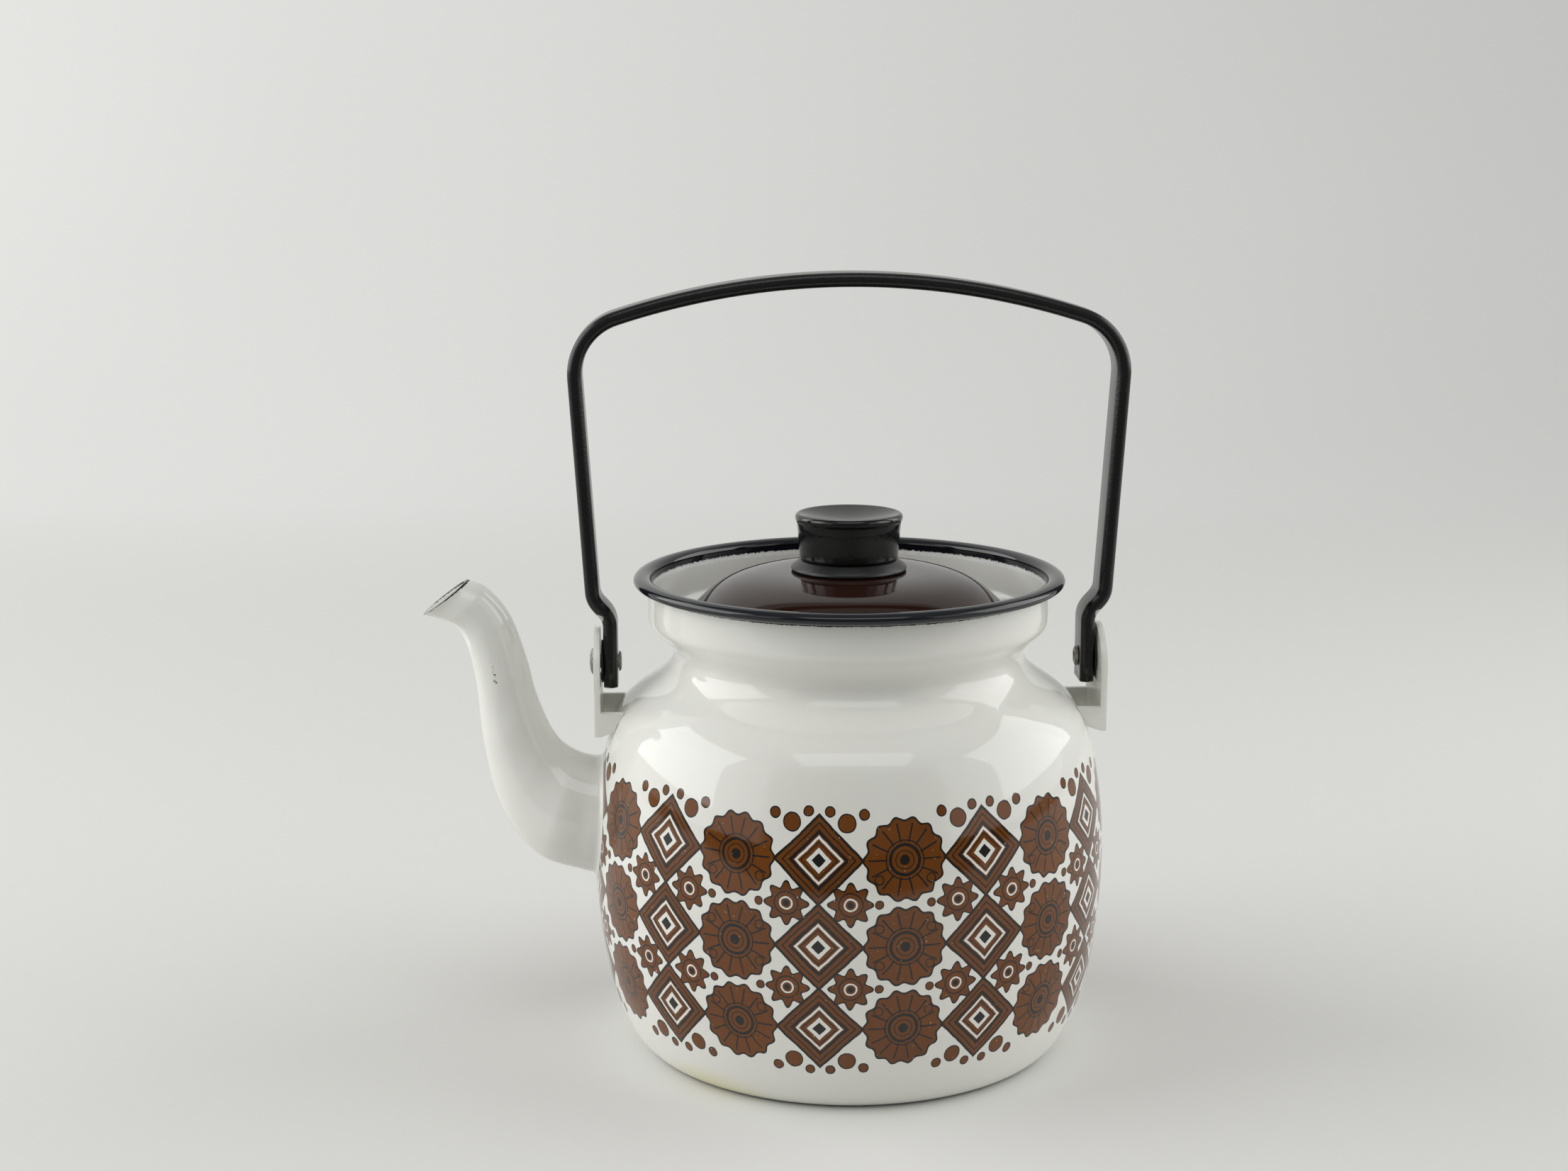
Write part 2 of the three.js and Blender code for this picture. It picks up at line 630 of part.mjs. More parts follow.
function lidGroup() {
  const group = new THREE.Group();
  group.position.z = lidSeatHeight();
  group.add(
    piece('lid_shell', lidShell(), brownEnamel()),
    piece('knob_skirt', knobSkirt(), satinPlastic()),
    piece('knob', knob(), blackPlastic()),
    piece('knob_insert', knobInsert(), brass()),
    piece('knob_screw', knobScrew(), dullSteel()),
    piece('screw_washer', screwWasher(), dullSteel()),
  );
  return group;
}

function bailGroup() {
  const group = new THREE.Group();
  group.position.z = pivotHeight;
  group.add(piece('bail', bail(), blackCoat()));
  return group;
}

const pot = new THREE.Group();
pot.add(
  piece('body_shell', bodyShell(), whiteEnamel()),
  piece('rim_bead', rimBead(), blackEnamel()),
  piece('spout', spout(), whiteEnamel()),
  pivotSide('right', 0),
  pivotSide('left', Math.PI),
  bailGroup(),
  lidGroup(),
);

export default pot;
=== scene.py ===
"""An enamel coffee pot with a loose lid and a swinging bail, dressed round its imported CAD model.

Everything is in metres in the CAD frame: +Z is up and the spout points to -X.
Outlines are written in millimetres and brought to metres when their mesh is made.
"""

import math

import bmesh
import bpy
from mathutils import Color, Matrix, Vector


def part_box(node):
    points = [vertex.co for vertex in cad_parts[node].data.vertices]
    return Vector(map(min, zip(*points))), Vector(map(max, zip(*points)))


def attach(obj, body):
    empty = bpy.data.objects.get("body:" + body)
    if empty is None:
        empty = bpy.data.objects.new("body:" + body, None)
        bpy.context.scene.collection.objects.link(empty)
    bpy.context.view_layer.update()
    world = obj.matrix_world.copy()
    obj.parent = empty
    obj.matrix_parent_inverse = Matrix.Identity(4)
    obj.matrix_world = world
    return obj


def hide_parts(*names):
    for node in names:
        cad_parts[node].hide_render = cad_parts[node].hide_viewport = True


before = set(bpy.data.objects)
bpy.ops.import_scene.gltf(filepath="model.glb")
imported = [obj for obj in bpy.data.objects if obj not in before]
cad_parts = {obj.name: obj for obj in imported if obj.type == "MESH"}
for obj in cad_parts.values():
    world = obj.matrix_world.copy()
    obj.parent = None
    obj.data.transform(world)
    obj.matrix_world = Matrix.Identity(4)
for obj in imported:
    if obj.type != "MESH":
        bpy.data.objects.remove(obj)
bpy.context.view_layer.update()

bl_info = {
    "name": "Enamel coffee pot",
    "version": (1, 0, 0),
    "blender": (4, 5, 0),
    "location": "3D View > Sidebar > Coffee pot",
    "description": "Builds an enamelled coffee pot with a gooseneck spout, a loose lid and a bail",
    "category": "Add Mesh",
}

MILLIMETRE = 0.001
MERGE_REACH = 2e-6

# Shared shapes, in millimetres

FOOT_RADIUS = 62.8
BELLY = (80.0, 63.0)
SHOULDER = (73.5, 104.5)
SLOPE = (64.5, 114.2)
NECK = (54.6, 125.0)
COLLAR = (62.5, 136.5)
RIM_HEIGHT = 147.6
BEAD_WIDTH = 5.6
BEAD_HEIGHT = 3.6
FOOT_ROUND = 1.2
BOW_STEPS = 14
BODY_BOWS = (
    (BELLY, ((0.59, 0.024), (1.0, 0.48))),
    (SHOULDER, ((0.0, 0.41), (0.54, 0.82))),
    (SLOPE, ((0.19, 0.41), (0.56, 0.7))),
    (NECK, ((0.56, 0.35), (0.98, 0.58))),
    (COLLAR, ((0.0, 0.39), (1.0, 0.565))),
)
SPOUT_ROOT_HEIGHT = 72.6
SPOUT_REACH = 51.7
SPOUT_RISE = 75.4
SPOUT_STATIONS = (
    (-0.14, -0.26, -0.16, 0.24),
    (0.09, -0.23, 0.02, 0.248),
    (0.36, -0.158, 0.145, 0.284),
    (0.565, 0.037, 0.245, 0.36),
    (0.66, 0.298, 0.34, 0.52),
    (0.7, 0.575, 0.392, 0.665),
    (0.765, 0.76, 0.487, 0.852),
    (0.87, 0.83, 0.62, 0.965),
    (1.0, 0.858, 0.73, 1.0),
)
SPOUT_SIDES = 64
SPOUT_RINGS = 97
SPOUT_ROWS = 110
WELD_ROUND = 1.6
WELD_STEPS = 6
STRAINER_RADIUS = 2.2
STRAINER_PITCH = 7.2
PIVOT_HEIGHT = 121.8
EAR_REACH = 77.3
EAR_SHEET = 2.0
EAR_CORNER = math.radians(50.0)
FOLD_ROUND = 1.5
SHEET_ROUND = 0.3
WASHER_GAP = 0.2
WASHER_SHEET = 0.5
WASHER_BORE = 2.5
WASHER_RADIUS = 6.7
RIVET_BORE = 1.3
RIVET_DEPTH = 2.7
RIVET_SHANK = 2.2
RIVET_HEAD = 4.2
RIVET_DOME = 1.2
RIVET_PROUD = 0.3
CLENCH_RADIUS = 0.925
CLENCH_RISE = 0.8

# The print in millimetres, its dots as across, up and radius

BAND_MIDDLE = 55.0
BAND_HALF = 41.0
BAND_COLUMNS = 10
BAND_STEP = 25.6
BAND_SHIFT = 0.28
LOZENGE = (13.0, 12.9)
WHEEL_RADIUS = 11.6
STAR_PLACE = 9.3
STAR_RADIUS = 5.4
EDGE_DOTS = ((8.2, 36.2, 2.6), (13.4, 38.6, 1.5), (3.2, 39.4, 1.4))
FIELD_DOTS = ((17.6, 5.6, 1.3), (17.6, 20.0, 1.3), (17.6, 12.8, 1.2))

# Borders, wear and painted light, in millimetres

BORDER_RADIUS = 61.9
OUTER_BORDER = 145.05
INNER_BORDER = 145.6
# Height of the whiter band inside the collar, partly painted highlight
WHITE_EDGE_HIGHLIGHT_HEIGHT = 144.7
STAIN_SPOT = (-45.0, -52.0)
MOUTH_RUN = 0.584
MOUTH_RISE = 0.812
LIP_START = 188.6
# Where the painted light inside the spout begins, along the mouth's slant
BORE_LIGHT_START = 172.0
BORE_SHIFT = 16.6
BORE_HALVES = (7.2, 5.6)
SPOUT_CHIP = (-92.0, 119.0)
RUB_SPOT = (1.0, 134.2)
RUB_FACE = 76.2
JOGGLE_CHIP = (77.4, 136.6)
LEG_END = 114.9
PIT_COLOR = (0.03, 0.03, 0.035)
STAIN_COLOR = (0.72, 0.66, 0.30)

# Where the photograph was taken from, in metres and degrees

CAMERA_REACH = 0.728
CAMERA_HEIGHT = 0.2878
CAMERA_HEADING = 1.587
CAMERA_PITCH = 11.104
CAMERA_ROLL = -0.162

# The sweep of paper, in metres

SWEEP_FRONT = -2.5
SWEEP_FLAT = 1.0
SWEEP_CURVE = 0.9
SWEEP_TOP = 3.2
SWEEP_SIDE = 3.0


# Geometry helpers


def remade(name, mesh):
    """A fresh object of that name, in place of any earlier one."""
    old = bpy.data.objects.get(name)
    if old is not None:
        bpy.data.objects.remove(old)
    piece = bpy.data.objects.new(name, mesh)
    bpy.context.scene.collection.objects.link(piece)
    return piece


def mesh_from_points(name, points, closed=False):
    """A chain of edges through points given in millimetres."""
    edges = [(i, i + 1) for i in range(len(points) - 1)]
    if closed:
        edges.append((len(points) - 1, 0))
    mesh = bpy.data.meshes.new(name)
    mesh.from_pydata([Vector(point) * MILLIMETRE for point in points], edges, [])
    return mesh


def bezier(corners, steps):
    """Points of the cubic curve with these four corners, without the first."""
    points = []
    for step in range(1, steps + 1):
        t = step / steps
        weights = ((1 - t) ** 3, 3 * t * (1 - t) ** 2, 3 * t * t * (1 - t), t**3)
        points.append(tuple(sum(w * c[k] for w, c in zip(weights, corners)) for k in (0, 1)))
    return points


def bow(start, end, shares, steps):
    """Bowed stretch whose handles are shares of the box between its ends."""
    box = [end[0] - start[0], end[1] - start[1]]
    handles = [(start[0] + a * box[0], start[1] + b * box[1]) for a, b in shares]
    return bezier((start, *handles, end), steps)


def arc(centre, radius, start, end, steps):
    """Points on an arc, its angles in degrees."""
    angles = [math.radians(start + (end - start) * i / steps) for i in range(steps + 1)]
    return [(centre[0] + radius * math.cos(a), centre[1] + radius * math.sin(a)) for a in angles]


def neighbours(line, i):
    """The entries before and after entry i, which is its own neighbour at an end."""
    return line[max(i - 1, 0)], line[min(i + 1, len(line) - 1)]


def heading(line, i):
    """Direction of a line of (across, up) at its point i."""
    before, after = neighbours(line, i)
    return Vector((after[0] - before[0], after[1] - before[1])).normalized()


def between(line, place):
    """Point of a line at a place in its numbering."""
    k = min(int(place), len(line) - 2)
    return line[k].lerp(line[k + 1], place - k)


def round_point(start, corner, end, t):
    """Point at share t of the round that cuts a corner."""
    return start * (1 - t) ** 2 + corner * 2 * t * (1 - t) + end * t * t


def offset(outline, distance):
    """The outline moved to its left, kept off the far side of the axis."""
    moved = []
    for i, (radius, height) in enumerate(outline):
        along = heading(outline, i)
        moved.append((max(radius - along.y * distance, 0.0), height + along.x * distance))
    return moved


def rounded(outline, radius, steps=3):
    """The closed outline with every corner cut to a small round."""
    points = [Vector(point) for point in outline]
    made = []
    for i, corner in enumerate(points):
        arms = [points[i - 1] - corner, points[(i + 1) % len(points)] - corner]
        reach = min(radius, arms[0].length * 0.45, arms[1].length * 0.45)
        start, end = (corner + arm.normalized() * reach for arm in arms)
        for step in range(steps + 1):
            made.append(tuple(round_point(start, corner, end, step / steps)))
    return made


def spline(points, count):
    """Smooth curve through points, sampled evenly in their numbering."""
    last = len(points) - 1
    made = []
    for i in range(count):
        place = i * last / (count - 1)
        k = min(int(place), last - 1)
        t = place - k
        a, b, c, d = (points[max(0, min(last, k + j))] for j in (-1, 0, 1, 2))
        value = []
        for axis in range(len(b)):
            v0, v1 = (c[axis] - a[axis]) / 2, (d[axis] - b[axis]) / 2
            value.append(
                (2 * b[axis] - 2 * c[axis] + v0 + v1) * t**3
                + (-3 * b[axis] + 3 * c[axis] - 2 * v0 - v1) * t * t
                + v0 * t
                + b[axis]
            )
        made.append(Vector(value))
    return made


# Node helpers, shared by the geometry and the shader trees


class Term:
    """A value in a node tree that can be reckoned with."""

    def __init__(self, tree, socket):
        self.tree = tree
        self.socket = socket

    def math(self, operation, *others):
        """The result of a Math node on this value and the others."""
        node = self.tree.nodes.new("ShaderNodeMath")
        node.operation = operation
        for slot, value in zip(node.inputs, (self, *others)):
            feed(self.tree, slot, value)
        return Term(self.tree, node.outputs[0])

    def __add__(self, other):
        return self.math("ADD", other)

    def __sub__(self, other):
        return self.math("SUBTRACT", other)

    def __mul__(self, other):
        return self.math("MULTIPLY", other)

    def __truediv__(self, other):
        return self.math("DIVIDE", other)

    def __abs__(self):
        return self.math("ABSOLUTE")

    def __pow__(self, other):
        return self.math("POWER", other)

    def least(self, other):
        """The smaller of the two."""
        return self.math("MINIMUM", other)

    def most(self, other):
        """The larger of the two."""
        return self.math("MAXIMUM", other)

    def clamped(self):
        """The value, held between 0 and 1."""
        node = self.tree.nodes.new("ShaderNodeClamp")
        feed(self.tree, node.inputs["Value"], self)
        return Term(self.tree, node.outputs[0])


def feed(tree, slot, value):
    """Links a value to a socket, or sets the socket to a plain number."""
    if isinstance(value, Term):
        tree.links.new(value.socket, slot)
    elif isinstance(value, bpy.types.NodeSocket):
        tree.links.new(value, slot)
    elif value is not None:
        slot.default_value = value


def node(tree, kind, settings=None, **inputs):
    """A node with its settings made and its inputs fed, by name or by _number."""
    made = tree.nodes.new(kind)
    for name, value in (settings or {}).items():
        setattr(made, name, value)
    for name, value in inputs.items():
        key = int(name[1:]) if name[0] == "_" else name.replace("_", " ")
        feed(tree, made.inputs[key], value)
    return made


def axes(tree, vector):
    """The three values of a vector."""
    parts = node(tree, "ShaderNodeSeparateXYZ", Vector=vector)
    return [Term(tree, parts.outputs[k]) for k in range(3)]


def sampled(tree, geometry, value, index):
    """The vector that a geometry carries at its point of that number."""
    found = node(
        tree, "GeometryNodeSampleIndex", {"data_type": "FLOAT_VECTOR"},
        Geometry=geometry, Value=value, Index=index,
    )
    return found.outputs[0]


def new_tree(name, sockets):
    """A geometry tree with these inputs: (name, kind, default)."""
    old = bpy.data.node_groups.get(name)
    if old is not None:
        bpy.data.node_groups.remove(old)
    tree = bpy.data.node_groups.new(name, "GeometryNodeTree")
    tree.interface.new_socket("Geometry", in_out="INPUT", socket_type="NodeSocketGeometry")
    for label, kind, default in sockets:
        made = tree.interface.new_socket(label, in_out="INPUT", socket_type="NodeSocket" + kind)
        if default is not None:
            made.default_value = default
    tree.interface.new_socket("Geometry", in_out="OUTPUT", socket_type="NodeSocketGeometry")
    return tree


def evaluated(piece):
    """The mesh of a piece with its modifiers applied."""
    bpy.context.view_layer.update()
    depsgraph = bpy.context.evaluated_depsgraph_get()
    return bpy.data.meshes.new_from_object(piece.evaluated_get(depsgraph))


def grown(name, mesh, tree, **values):
    """The plain mesh that a geometry tree makes from a mesh, as a new object of that name."""
    piece = remade(name, mesh)
    modifier = piece.modifiers.new("Shape", "NODES")
    modifier.node_group = tree
    for item in tree.interface.items_tree:
        label = item.name.replace(" ", "_").lower()
        if item.item_type == "SOCKET" and item.in_out == "INPUT" and label in values:
            modifier[item.identifier] = values[label]
    shape = evaluated(piece)
    piece.modifiers.remove(modifier)
    piece.data = shape
    shape.name = name
    return piece


def tidy(piece, sharp=40.0, outward=True):
    """Merges doubles, points the faces outwards and smooths all but the sharp edges."""
    shape = bmesh.new()
    shape.from_mesh(piece.data)
    bmesh.ops.remove_doubles(shape, verts=shape.verts, dist=MERGE_REACH)
    bmesh.ops.dissolve_degenerate(shape, edges=shape.edges, dist=1e-7)
    if outward:
        bmesh.ops.recalc_face_normals(shape, faces=shape.faces)
    for face in shape.faces:
        face.smooth = True
    shape.to_mesh(piece.data)
    shape.free()
    piece.data.set_sharp_from_angle(angle=math.radians(sharp))


def settle(piece, body, finish, slot, *nodes):
    """Gives a finished piece its material and its body and hides the CAD nodes it stands for; its
    slot is not used.
    """
    piece.data.materials.clear()
    piece.data.materials.append(finish)
    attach(piece, body)
    if nodes:
        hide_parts(*nodes)


def close_tree(tree, geometry, finish):
    """Ends a geometry tree in Realize Instances and Set Material."""
    real = node(tree, "GeometryNodeRealizeInstances", Geometry=geometry)
    smooth = node(tree, "GeometryNodeSetShadeSmooth", Geometry=real.outputs[0])
    painted = node(tree, "GeometryNodeSetMaterial", Geometry=smooth.outputs[0], Material=finish)
    end = tree.nodes.new("NodeGroupOutput")
    tree.links.new(painted.outputs[0], end.inputs["Geometry"])


def lay_grid(tree, grid, spot, finish):
    """Moves a grid's points to their spots, joins those that meet and ends the tree."""
    laid = node(tree, "GeometryNodeSetPosition", Geometry=grid.outputs["Mesh"], Position=spot)
    joined = node(
        tree, "GeometryNodeMergeByDistance", Geometry=laid.outputs[0], Distance=MERGE_REACH
    )
    close_tree(tree, joined.outputs[0], finish)


def turned_tree():
    """Turns an outline, whose points are (radius, 0, height), round the Z axis."""
    tree = new_tree("Turned piece", (("Segments", "Int", 96), ("Finish", "Material", None)))
    start = tree.nodes.new("NodeGroupInput")
    size = node(tree, "GeometryNodeAttributeDomainSize", Geometry=start.outputs["Geometry"])
    rows = size.outputs["Point Count"]
    grid = node(
        tree, "GeometryNodeMeshGrid", Size_X=1.0, Size_Y=1.0,
        Vertices_X=Term(tree, start.outputs["Segments"]) + 1.0, Vertices_Y=rows,
    )
    index = Term(tree, tree.nodes.new("GeometryNodeInputIndex").outputs[0])
    column = (index / rows).math("FLOOR")
    row = index - column * rows
    place = tree.nodes.new("GeometryNodeInputPosition").outputs[0]
    radius, _, height = axes(tree, sampled(tree, start.outputs["Geometry"], place, row))
    turn = column / start.outputs["Segments"] * math.tau
    spot = node(
        tree, "ShaderNodeCombineXYZ",
        X=radius * turn.math("COSINE"), Y=radius * turn.math("SINE"), Z=height,
    )
    lay_grid(tree, grid, spot.outputs[0], start.outputs["Finish"])
    return tree


def swept_tree():
    """Skins sections along stations, whose points carry the vectors of the section's axes."""
    tree = new_tree("Swept piece", (("Section", "Object", None), ("Finish", "Material", None)))
    start = tree.nodes.new("NodeGroupInput")
    path = start.outputs["Geometry"]
    section = node(tree, "GeometryNodeObjectInfo", Object=start.outputs["Section"])
    section = section.outputs["Geometry"]
    rows, sides = (
        node(tree, "GeometryNodeAttributeDomainSize", Geometry=part).outputs["Point Count"]
        for part in (path, section)
    )
    width = Term(tree, sides) + 1.0
    grid = node(
        tree, "GeometryNodeMeshGrid", Size_X=1.0, Size_Y=1.0, Vertices_X=rows, Vertices_Y=width
    )
    index = Term(tree, tree.nodes.new("GeometryNodeInputIndex").outputs[0])
    row = (index / width).math("FLOOR")
    side = (index - row * width).math("MODULO", sides)
    place = tree.nodes.new("GeometryNodeInputPosition").outputs[0]
    depth, breadth, _ = axes(tree, sampled(tree, section, place, side))
    spot = sampled(tree, path, place, row)
    for label, share in (("depth", depth), ("breadth", breadth)):
        carried = node(
            tree, "GeometryNodeInputNamedAttribute", {"data_type": "FLOAT_VECTOR"}, Name=label
        )
        reach = node(
            tree, "ShaderNodeVectorMath", {"operation": "SCALE"},
            _0=sampled(tree, path, carried.outputs["Attribute"], row), Scale=share,
        )
        spot = node(
            tree, "ShaderNodeVectorMath", {"operation": "ADD"}, _0=spot, _1=reach.outputs[0]
        ).outputs[0]
    lay_grid(tree, grid, spot, start.outputs["Finish"])
    return tree


def swept(name, stations, section, finish):
    """Piece skinned over stations of (place, depth, breadth), its section given in shares."""
    mesh = mesh_from_points(name, [place for place, _, _ in stations])
    for label, k in (("depth", 1), ("breadth", 2)):
        values = mesh.attributes.new(label, "FLOAT_VECTOR", "POINT")
        for i, station in enumerate(stations):
            values.data[i].vector = Vector(station[k])
    outline = bpy.data.objects.new(
        name + "_section", mesh_from_points(name, [(u, v, 0.0) for u, v in section], True)
    )
    bpy.context.scene.collection.objects.link(outline)
    piece = grown(name, mesh, swept_tree(), section=outline, finish=finish)
    bpy.data.objects.remove(outline)
    return piece


def turned(name, outline, finish, segments, sharp=40.0):
    """Piece turned from an outline of (radius, height), closed if it starts off the axis."""
    points = [(radius, 0.0, height) for radius, height in outline]
    if outline[0][0] > 1e-6:
        points.append(points[0])
    mesh = mesh_from_points(name, points)
    piece = grown(name, mesh, turned_tree(), segments=segments, finish=finish)
    tidy(piece, sharp)
    return piece


def facing_side(piece, side):
    """Turns a piece made round the Z axis to lie round the pivot of one side."""
    quarter = Matrix.Rotation(math.pi / 2, 4, "Y")
    turn = Matrix.Rotation(0.0 if side == "right" else math.pi, 4, "Z")
    lift = Matrix.Translation((0.0, 0.0, PIVOT_HEIGHT * MILLIMETRE))
    piece.data.transform(lift @ turn @ quarter)


# Materials


def finish_of(name, color, roughness, metallic=0.0):
    """A principled material, with its tree, its shader and its coordinates in millimetres."""
    material = bpy.data.materials.get(name) or bpy.data.materials.new(name)
    material.use_nodes = True
    tree = material.node_tree
    tree.nodes.clear()
    shader = tree.nodes.new("ShaderNodeBsdfPrincipled")
    shader.inputs["Base Color"].default_value = (*color, 1.0)
    shader.inputs["Roughness"].default_value = roughness
    shader.inputs["Metallic"].default_value = metallic
    end = tree.nodes.new("ShaderNodeOutputMaterial")
    tree.links.new(shader.outputs[0], end.inputs["Surface"])
    place = tree.nodes.new("ShaderNodeTexCoord").outputs["Object"]
    scaled = node(
        tree, "ShaderNodeVectorMath", {"operation": "SCALE"}, _0=place, Scale=1.0 / MILLIMETRE
    )
    return material, tree, shader, scaled.outputs[0]


def painted(tree, shader, tint, rough=None):
    """Gives the shader its colour and, where it varies, its roughness."""
    tree.links.new(tint, shader.inputs["Base Color"])
    if rough is not None:
        tree.links.new(rough.socket, shader.inputs["Roughness"])


def noise(tree, place, scale, detail=2.0, roughness=0.5):
    """Noise between 0 and 1, its scale in turns per millimetre."""
    made = node(
        tree, "ShaderNodeTexNoise", Vector=place, Scale=scale, Detail=detail, Roughness=roughness
    )
    return Term(tree, made.outputs["Fac"])


def above(value, edge, soft):
    """1 where the value is over the edge, 0 where it is under, with a soft step."""
    return ((value - edge) / soft + 0.5).clamped()


def inside(distance, soft=0.12):
    """1 where a signed distance is negative."""
    return (distance * (-1.0 / soft) + 0.5).clamped()


def stroke(distance, width, soft=0.12):
    """1 on a line of that width along the distance's zero."""
    return inside(abs(distance) - width / 2, soft)


def inverse(share):
    """What a share leaves over."""
    return share * -1.0 + 1.0


def hypotenuse(a, b):
    """Length over two sides at right angles."""
    return (a * a + b * b) ** 0.5


def mixed(tree, share, first, second):
    """Colour that goes from the first to the second with the share."""
    made = node(tree, "ShaderNodeMix", {"data_type": "RGBA"})
    feed(tree, made.inputs[0], share)
    for slot, value in ((6, first), (7, second)):
        plain = isinstance(value, (tuple, Color))
        feed(tree, made.inputs[slot], (*value, 1.0) if plain else value)
    return made.outputs[2]


def bumped(tree, shader, height, distance, strength=1.0):
    """Gives the shader a bump, its height in metres times the field."""
    made = node(tree, "ShaderNodeBump", Strength=strength, Distance=distance, Height=height)
    tree.links.new(made.outputs["Normal"], shader.inputs["Normal"])


def specks(tree, place, size, share):
    """Sparse round specks: a spot in a share of cells of that size in millimetres."""
    cells = node(tree, "ShaderNodeTexVoronoi", Vector=place, Scale=1.0 / size, Randomness=1.0)
    pick = node(tree, "ShaderNodeSeparateColor", Color=cells.outputs["Color"])
    chosen = above(Term(tree, pick.outputs[0]), 1.0 - share, 0.001)
    spread = Term(tree, pick.outputs[1]) * 0.03 + 0.012
    return chosen * inside(Term(tree, cells.outputs["Distance"]) - spread, 0.012)


def mark_outside(piece):
    """Marks the faces that look away from the pot's axis, because only they carry the print."""
    marks = piece.data.attributes.new("outside", "FLOAT", "FACE")
    for face in piece.data.polygons:
        outward = face.normal.x * face.center.x + face.normal.y * face.center.y > 0
        marks.data[face.index].value = 1.0 if outward else 0.0


def lozenges(across, level):
    """Brown and black of a stack of lozenges with combed borders."""
    lozenge = across / LOZENGE[0] + abs(level) / LOZENGE[1] - 1.0
    edge, core = lozenge * 9.0, (lozenge + 0.36) * 9.0
    diagonal = across + abs(level)
    comb = stroke((diagonal * 0.42).math("FRACT") - 0.5, 0.24, 0.06)
    border = inside(edge) * inside(core * -1.0)
    eye = diagonal - 2.1
    ring = inside(diagonal - 3.7) * inside(eye * -1.0)
    fill = inside(edge) * inverse(inside(abs(core + 1.1) - 0.34)) * inverse(ring)
    line = stroke(edge, 0.75).most(stroke(core, 0.9)).most(border * comb)
    return fill, line.most(stroke(core + 2.1, 0.3)).most(inside(eye))


def sun_wheels(across, level, pitch):
    """Brown and black of a column of sun wheels."""
    far = abs(across - pitch / 2)
    spoke = level.math("ARCTAN2", far)
    reach = hypotenuse(far, level)
    wheel = reach - ((spoke * 14.0).math("COSINE") * 0.55 + WHEEL_RADIUS)
    rays = abs((spoke * 7.0).math("SINE")) * reach * 0.14 - 0.24
    line = stroke(wheel, 0.65).most(stroke(reach - 4.3, 0.9)).most(stroke(reach - 5.6, 0.4))
    line = line.most(inside(rays) * above(reach, 5.2, 0.1) * inside(wheel + 1.5))
    return inside(wheel), line.most(inside(reach - 1.5)).most(stroke(reach - 2.7, 0.3))


def small_stars(across, up):
    """Brown and black of the small stars between the columns."""
    side, height = across - STAR_PLACE, abs(abs(up) - BAND_STEP / 2)
    bearing = height.math("ARCTAN2", side)
    reach = hypotenuse(side, height)
    star = reach - ((bearing * 8.0).math("COSINE") + STAR_RADIUS)
    line = stroke(star, 0.65).most(stroke(reach - 3.4, 0.4)).most(inside(reach - 0.9))
    return inside(star) * inverse(stroke(reach - 1.7, 0.5)), line


def dot(a, b, radius, width):
    """Brown and black of a dot with an outline."""
    edge = hypotenuse(a, b) - radius
    return inside(edge), stroke(edge, width)


def printed_band(tree, place):
    """Shares of brown and of black ink of the printed ornament round the belly."""
    x, y, z = axes(tree, place)
    wobble = noise(tree, place, 0.11) - 0.5
    fine = noise(tree, place, 0.45) - 0.5
    turn = y.math("ARCTAN2", x)
    pitch = math.tau * BELLY[0] / BAND_COLUMNS
    cell = (turn * (BAND_COLUMNS / math.tau) + BAND_SHIFT).math("FRACT") - 0.5
    across = abs(cell * pitch + wobble * 0.9)
    up = z - BAND_MIDDLE + fine * 0.5
    row = (up / BAND_STEP).math("ROUND").most(-1.0).least(1.0)
    level = up - row * BAND_STEP
    marks = [lozenges(across, level), sun_wheels(across, level, pitch), small_stars(across, up)]
    for place_across, place_up, radius in EDGE_DOTS:
        marks.append(dot(across - place_across, abs(up) - place_up, radius, 0.4))
    for place_across, place_up, radius in FIELD_DOTS:
        marks.append(dot(across - place_across, abs(abs(up) - place_up), radius, 0.35))
    brown, black = marks[0]
    for fill, line in marks[1:]:
        brown, black = brown.most(fill), black.most(line)
    outside = tree.nodes.new("ShaderNodeAttribute")
    outside.attribute_name = "outside"
    rubbed = above(noise(tree, place, 0.9, 4.0, 0.7), 0.30, 0.03)
    shown = inside(abs(z - BAND_MIDDLE) - BAND_HALF) * outside.outputs["Fac"] * rubbed
    return brown * shown, black * shown


def enamel_skin(tree, shader, place):
    """Slight waviness of fired enamel."""
    wave = noise(tree, place, 0.025, 1.0) * 6.0 + noise(tree, place, 0.3) * 0.144
    bumped(tree, shader, wave, 0.000035)


def aged(settings, tree, place, white, share):
    """The white, yellowed in wide patches."""
    patches = above(noise(tree, place, 0.02, 3.0), 0.5, 0.5)
    return mixed(tree, patches * share, white, settings.aged_white)


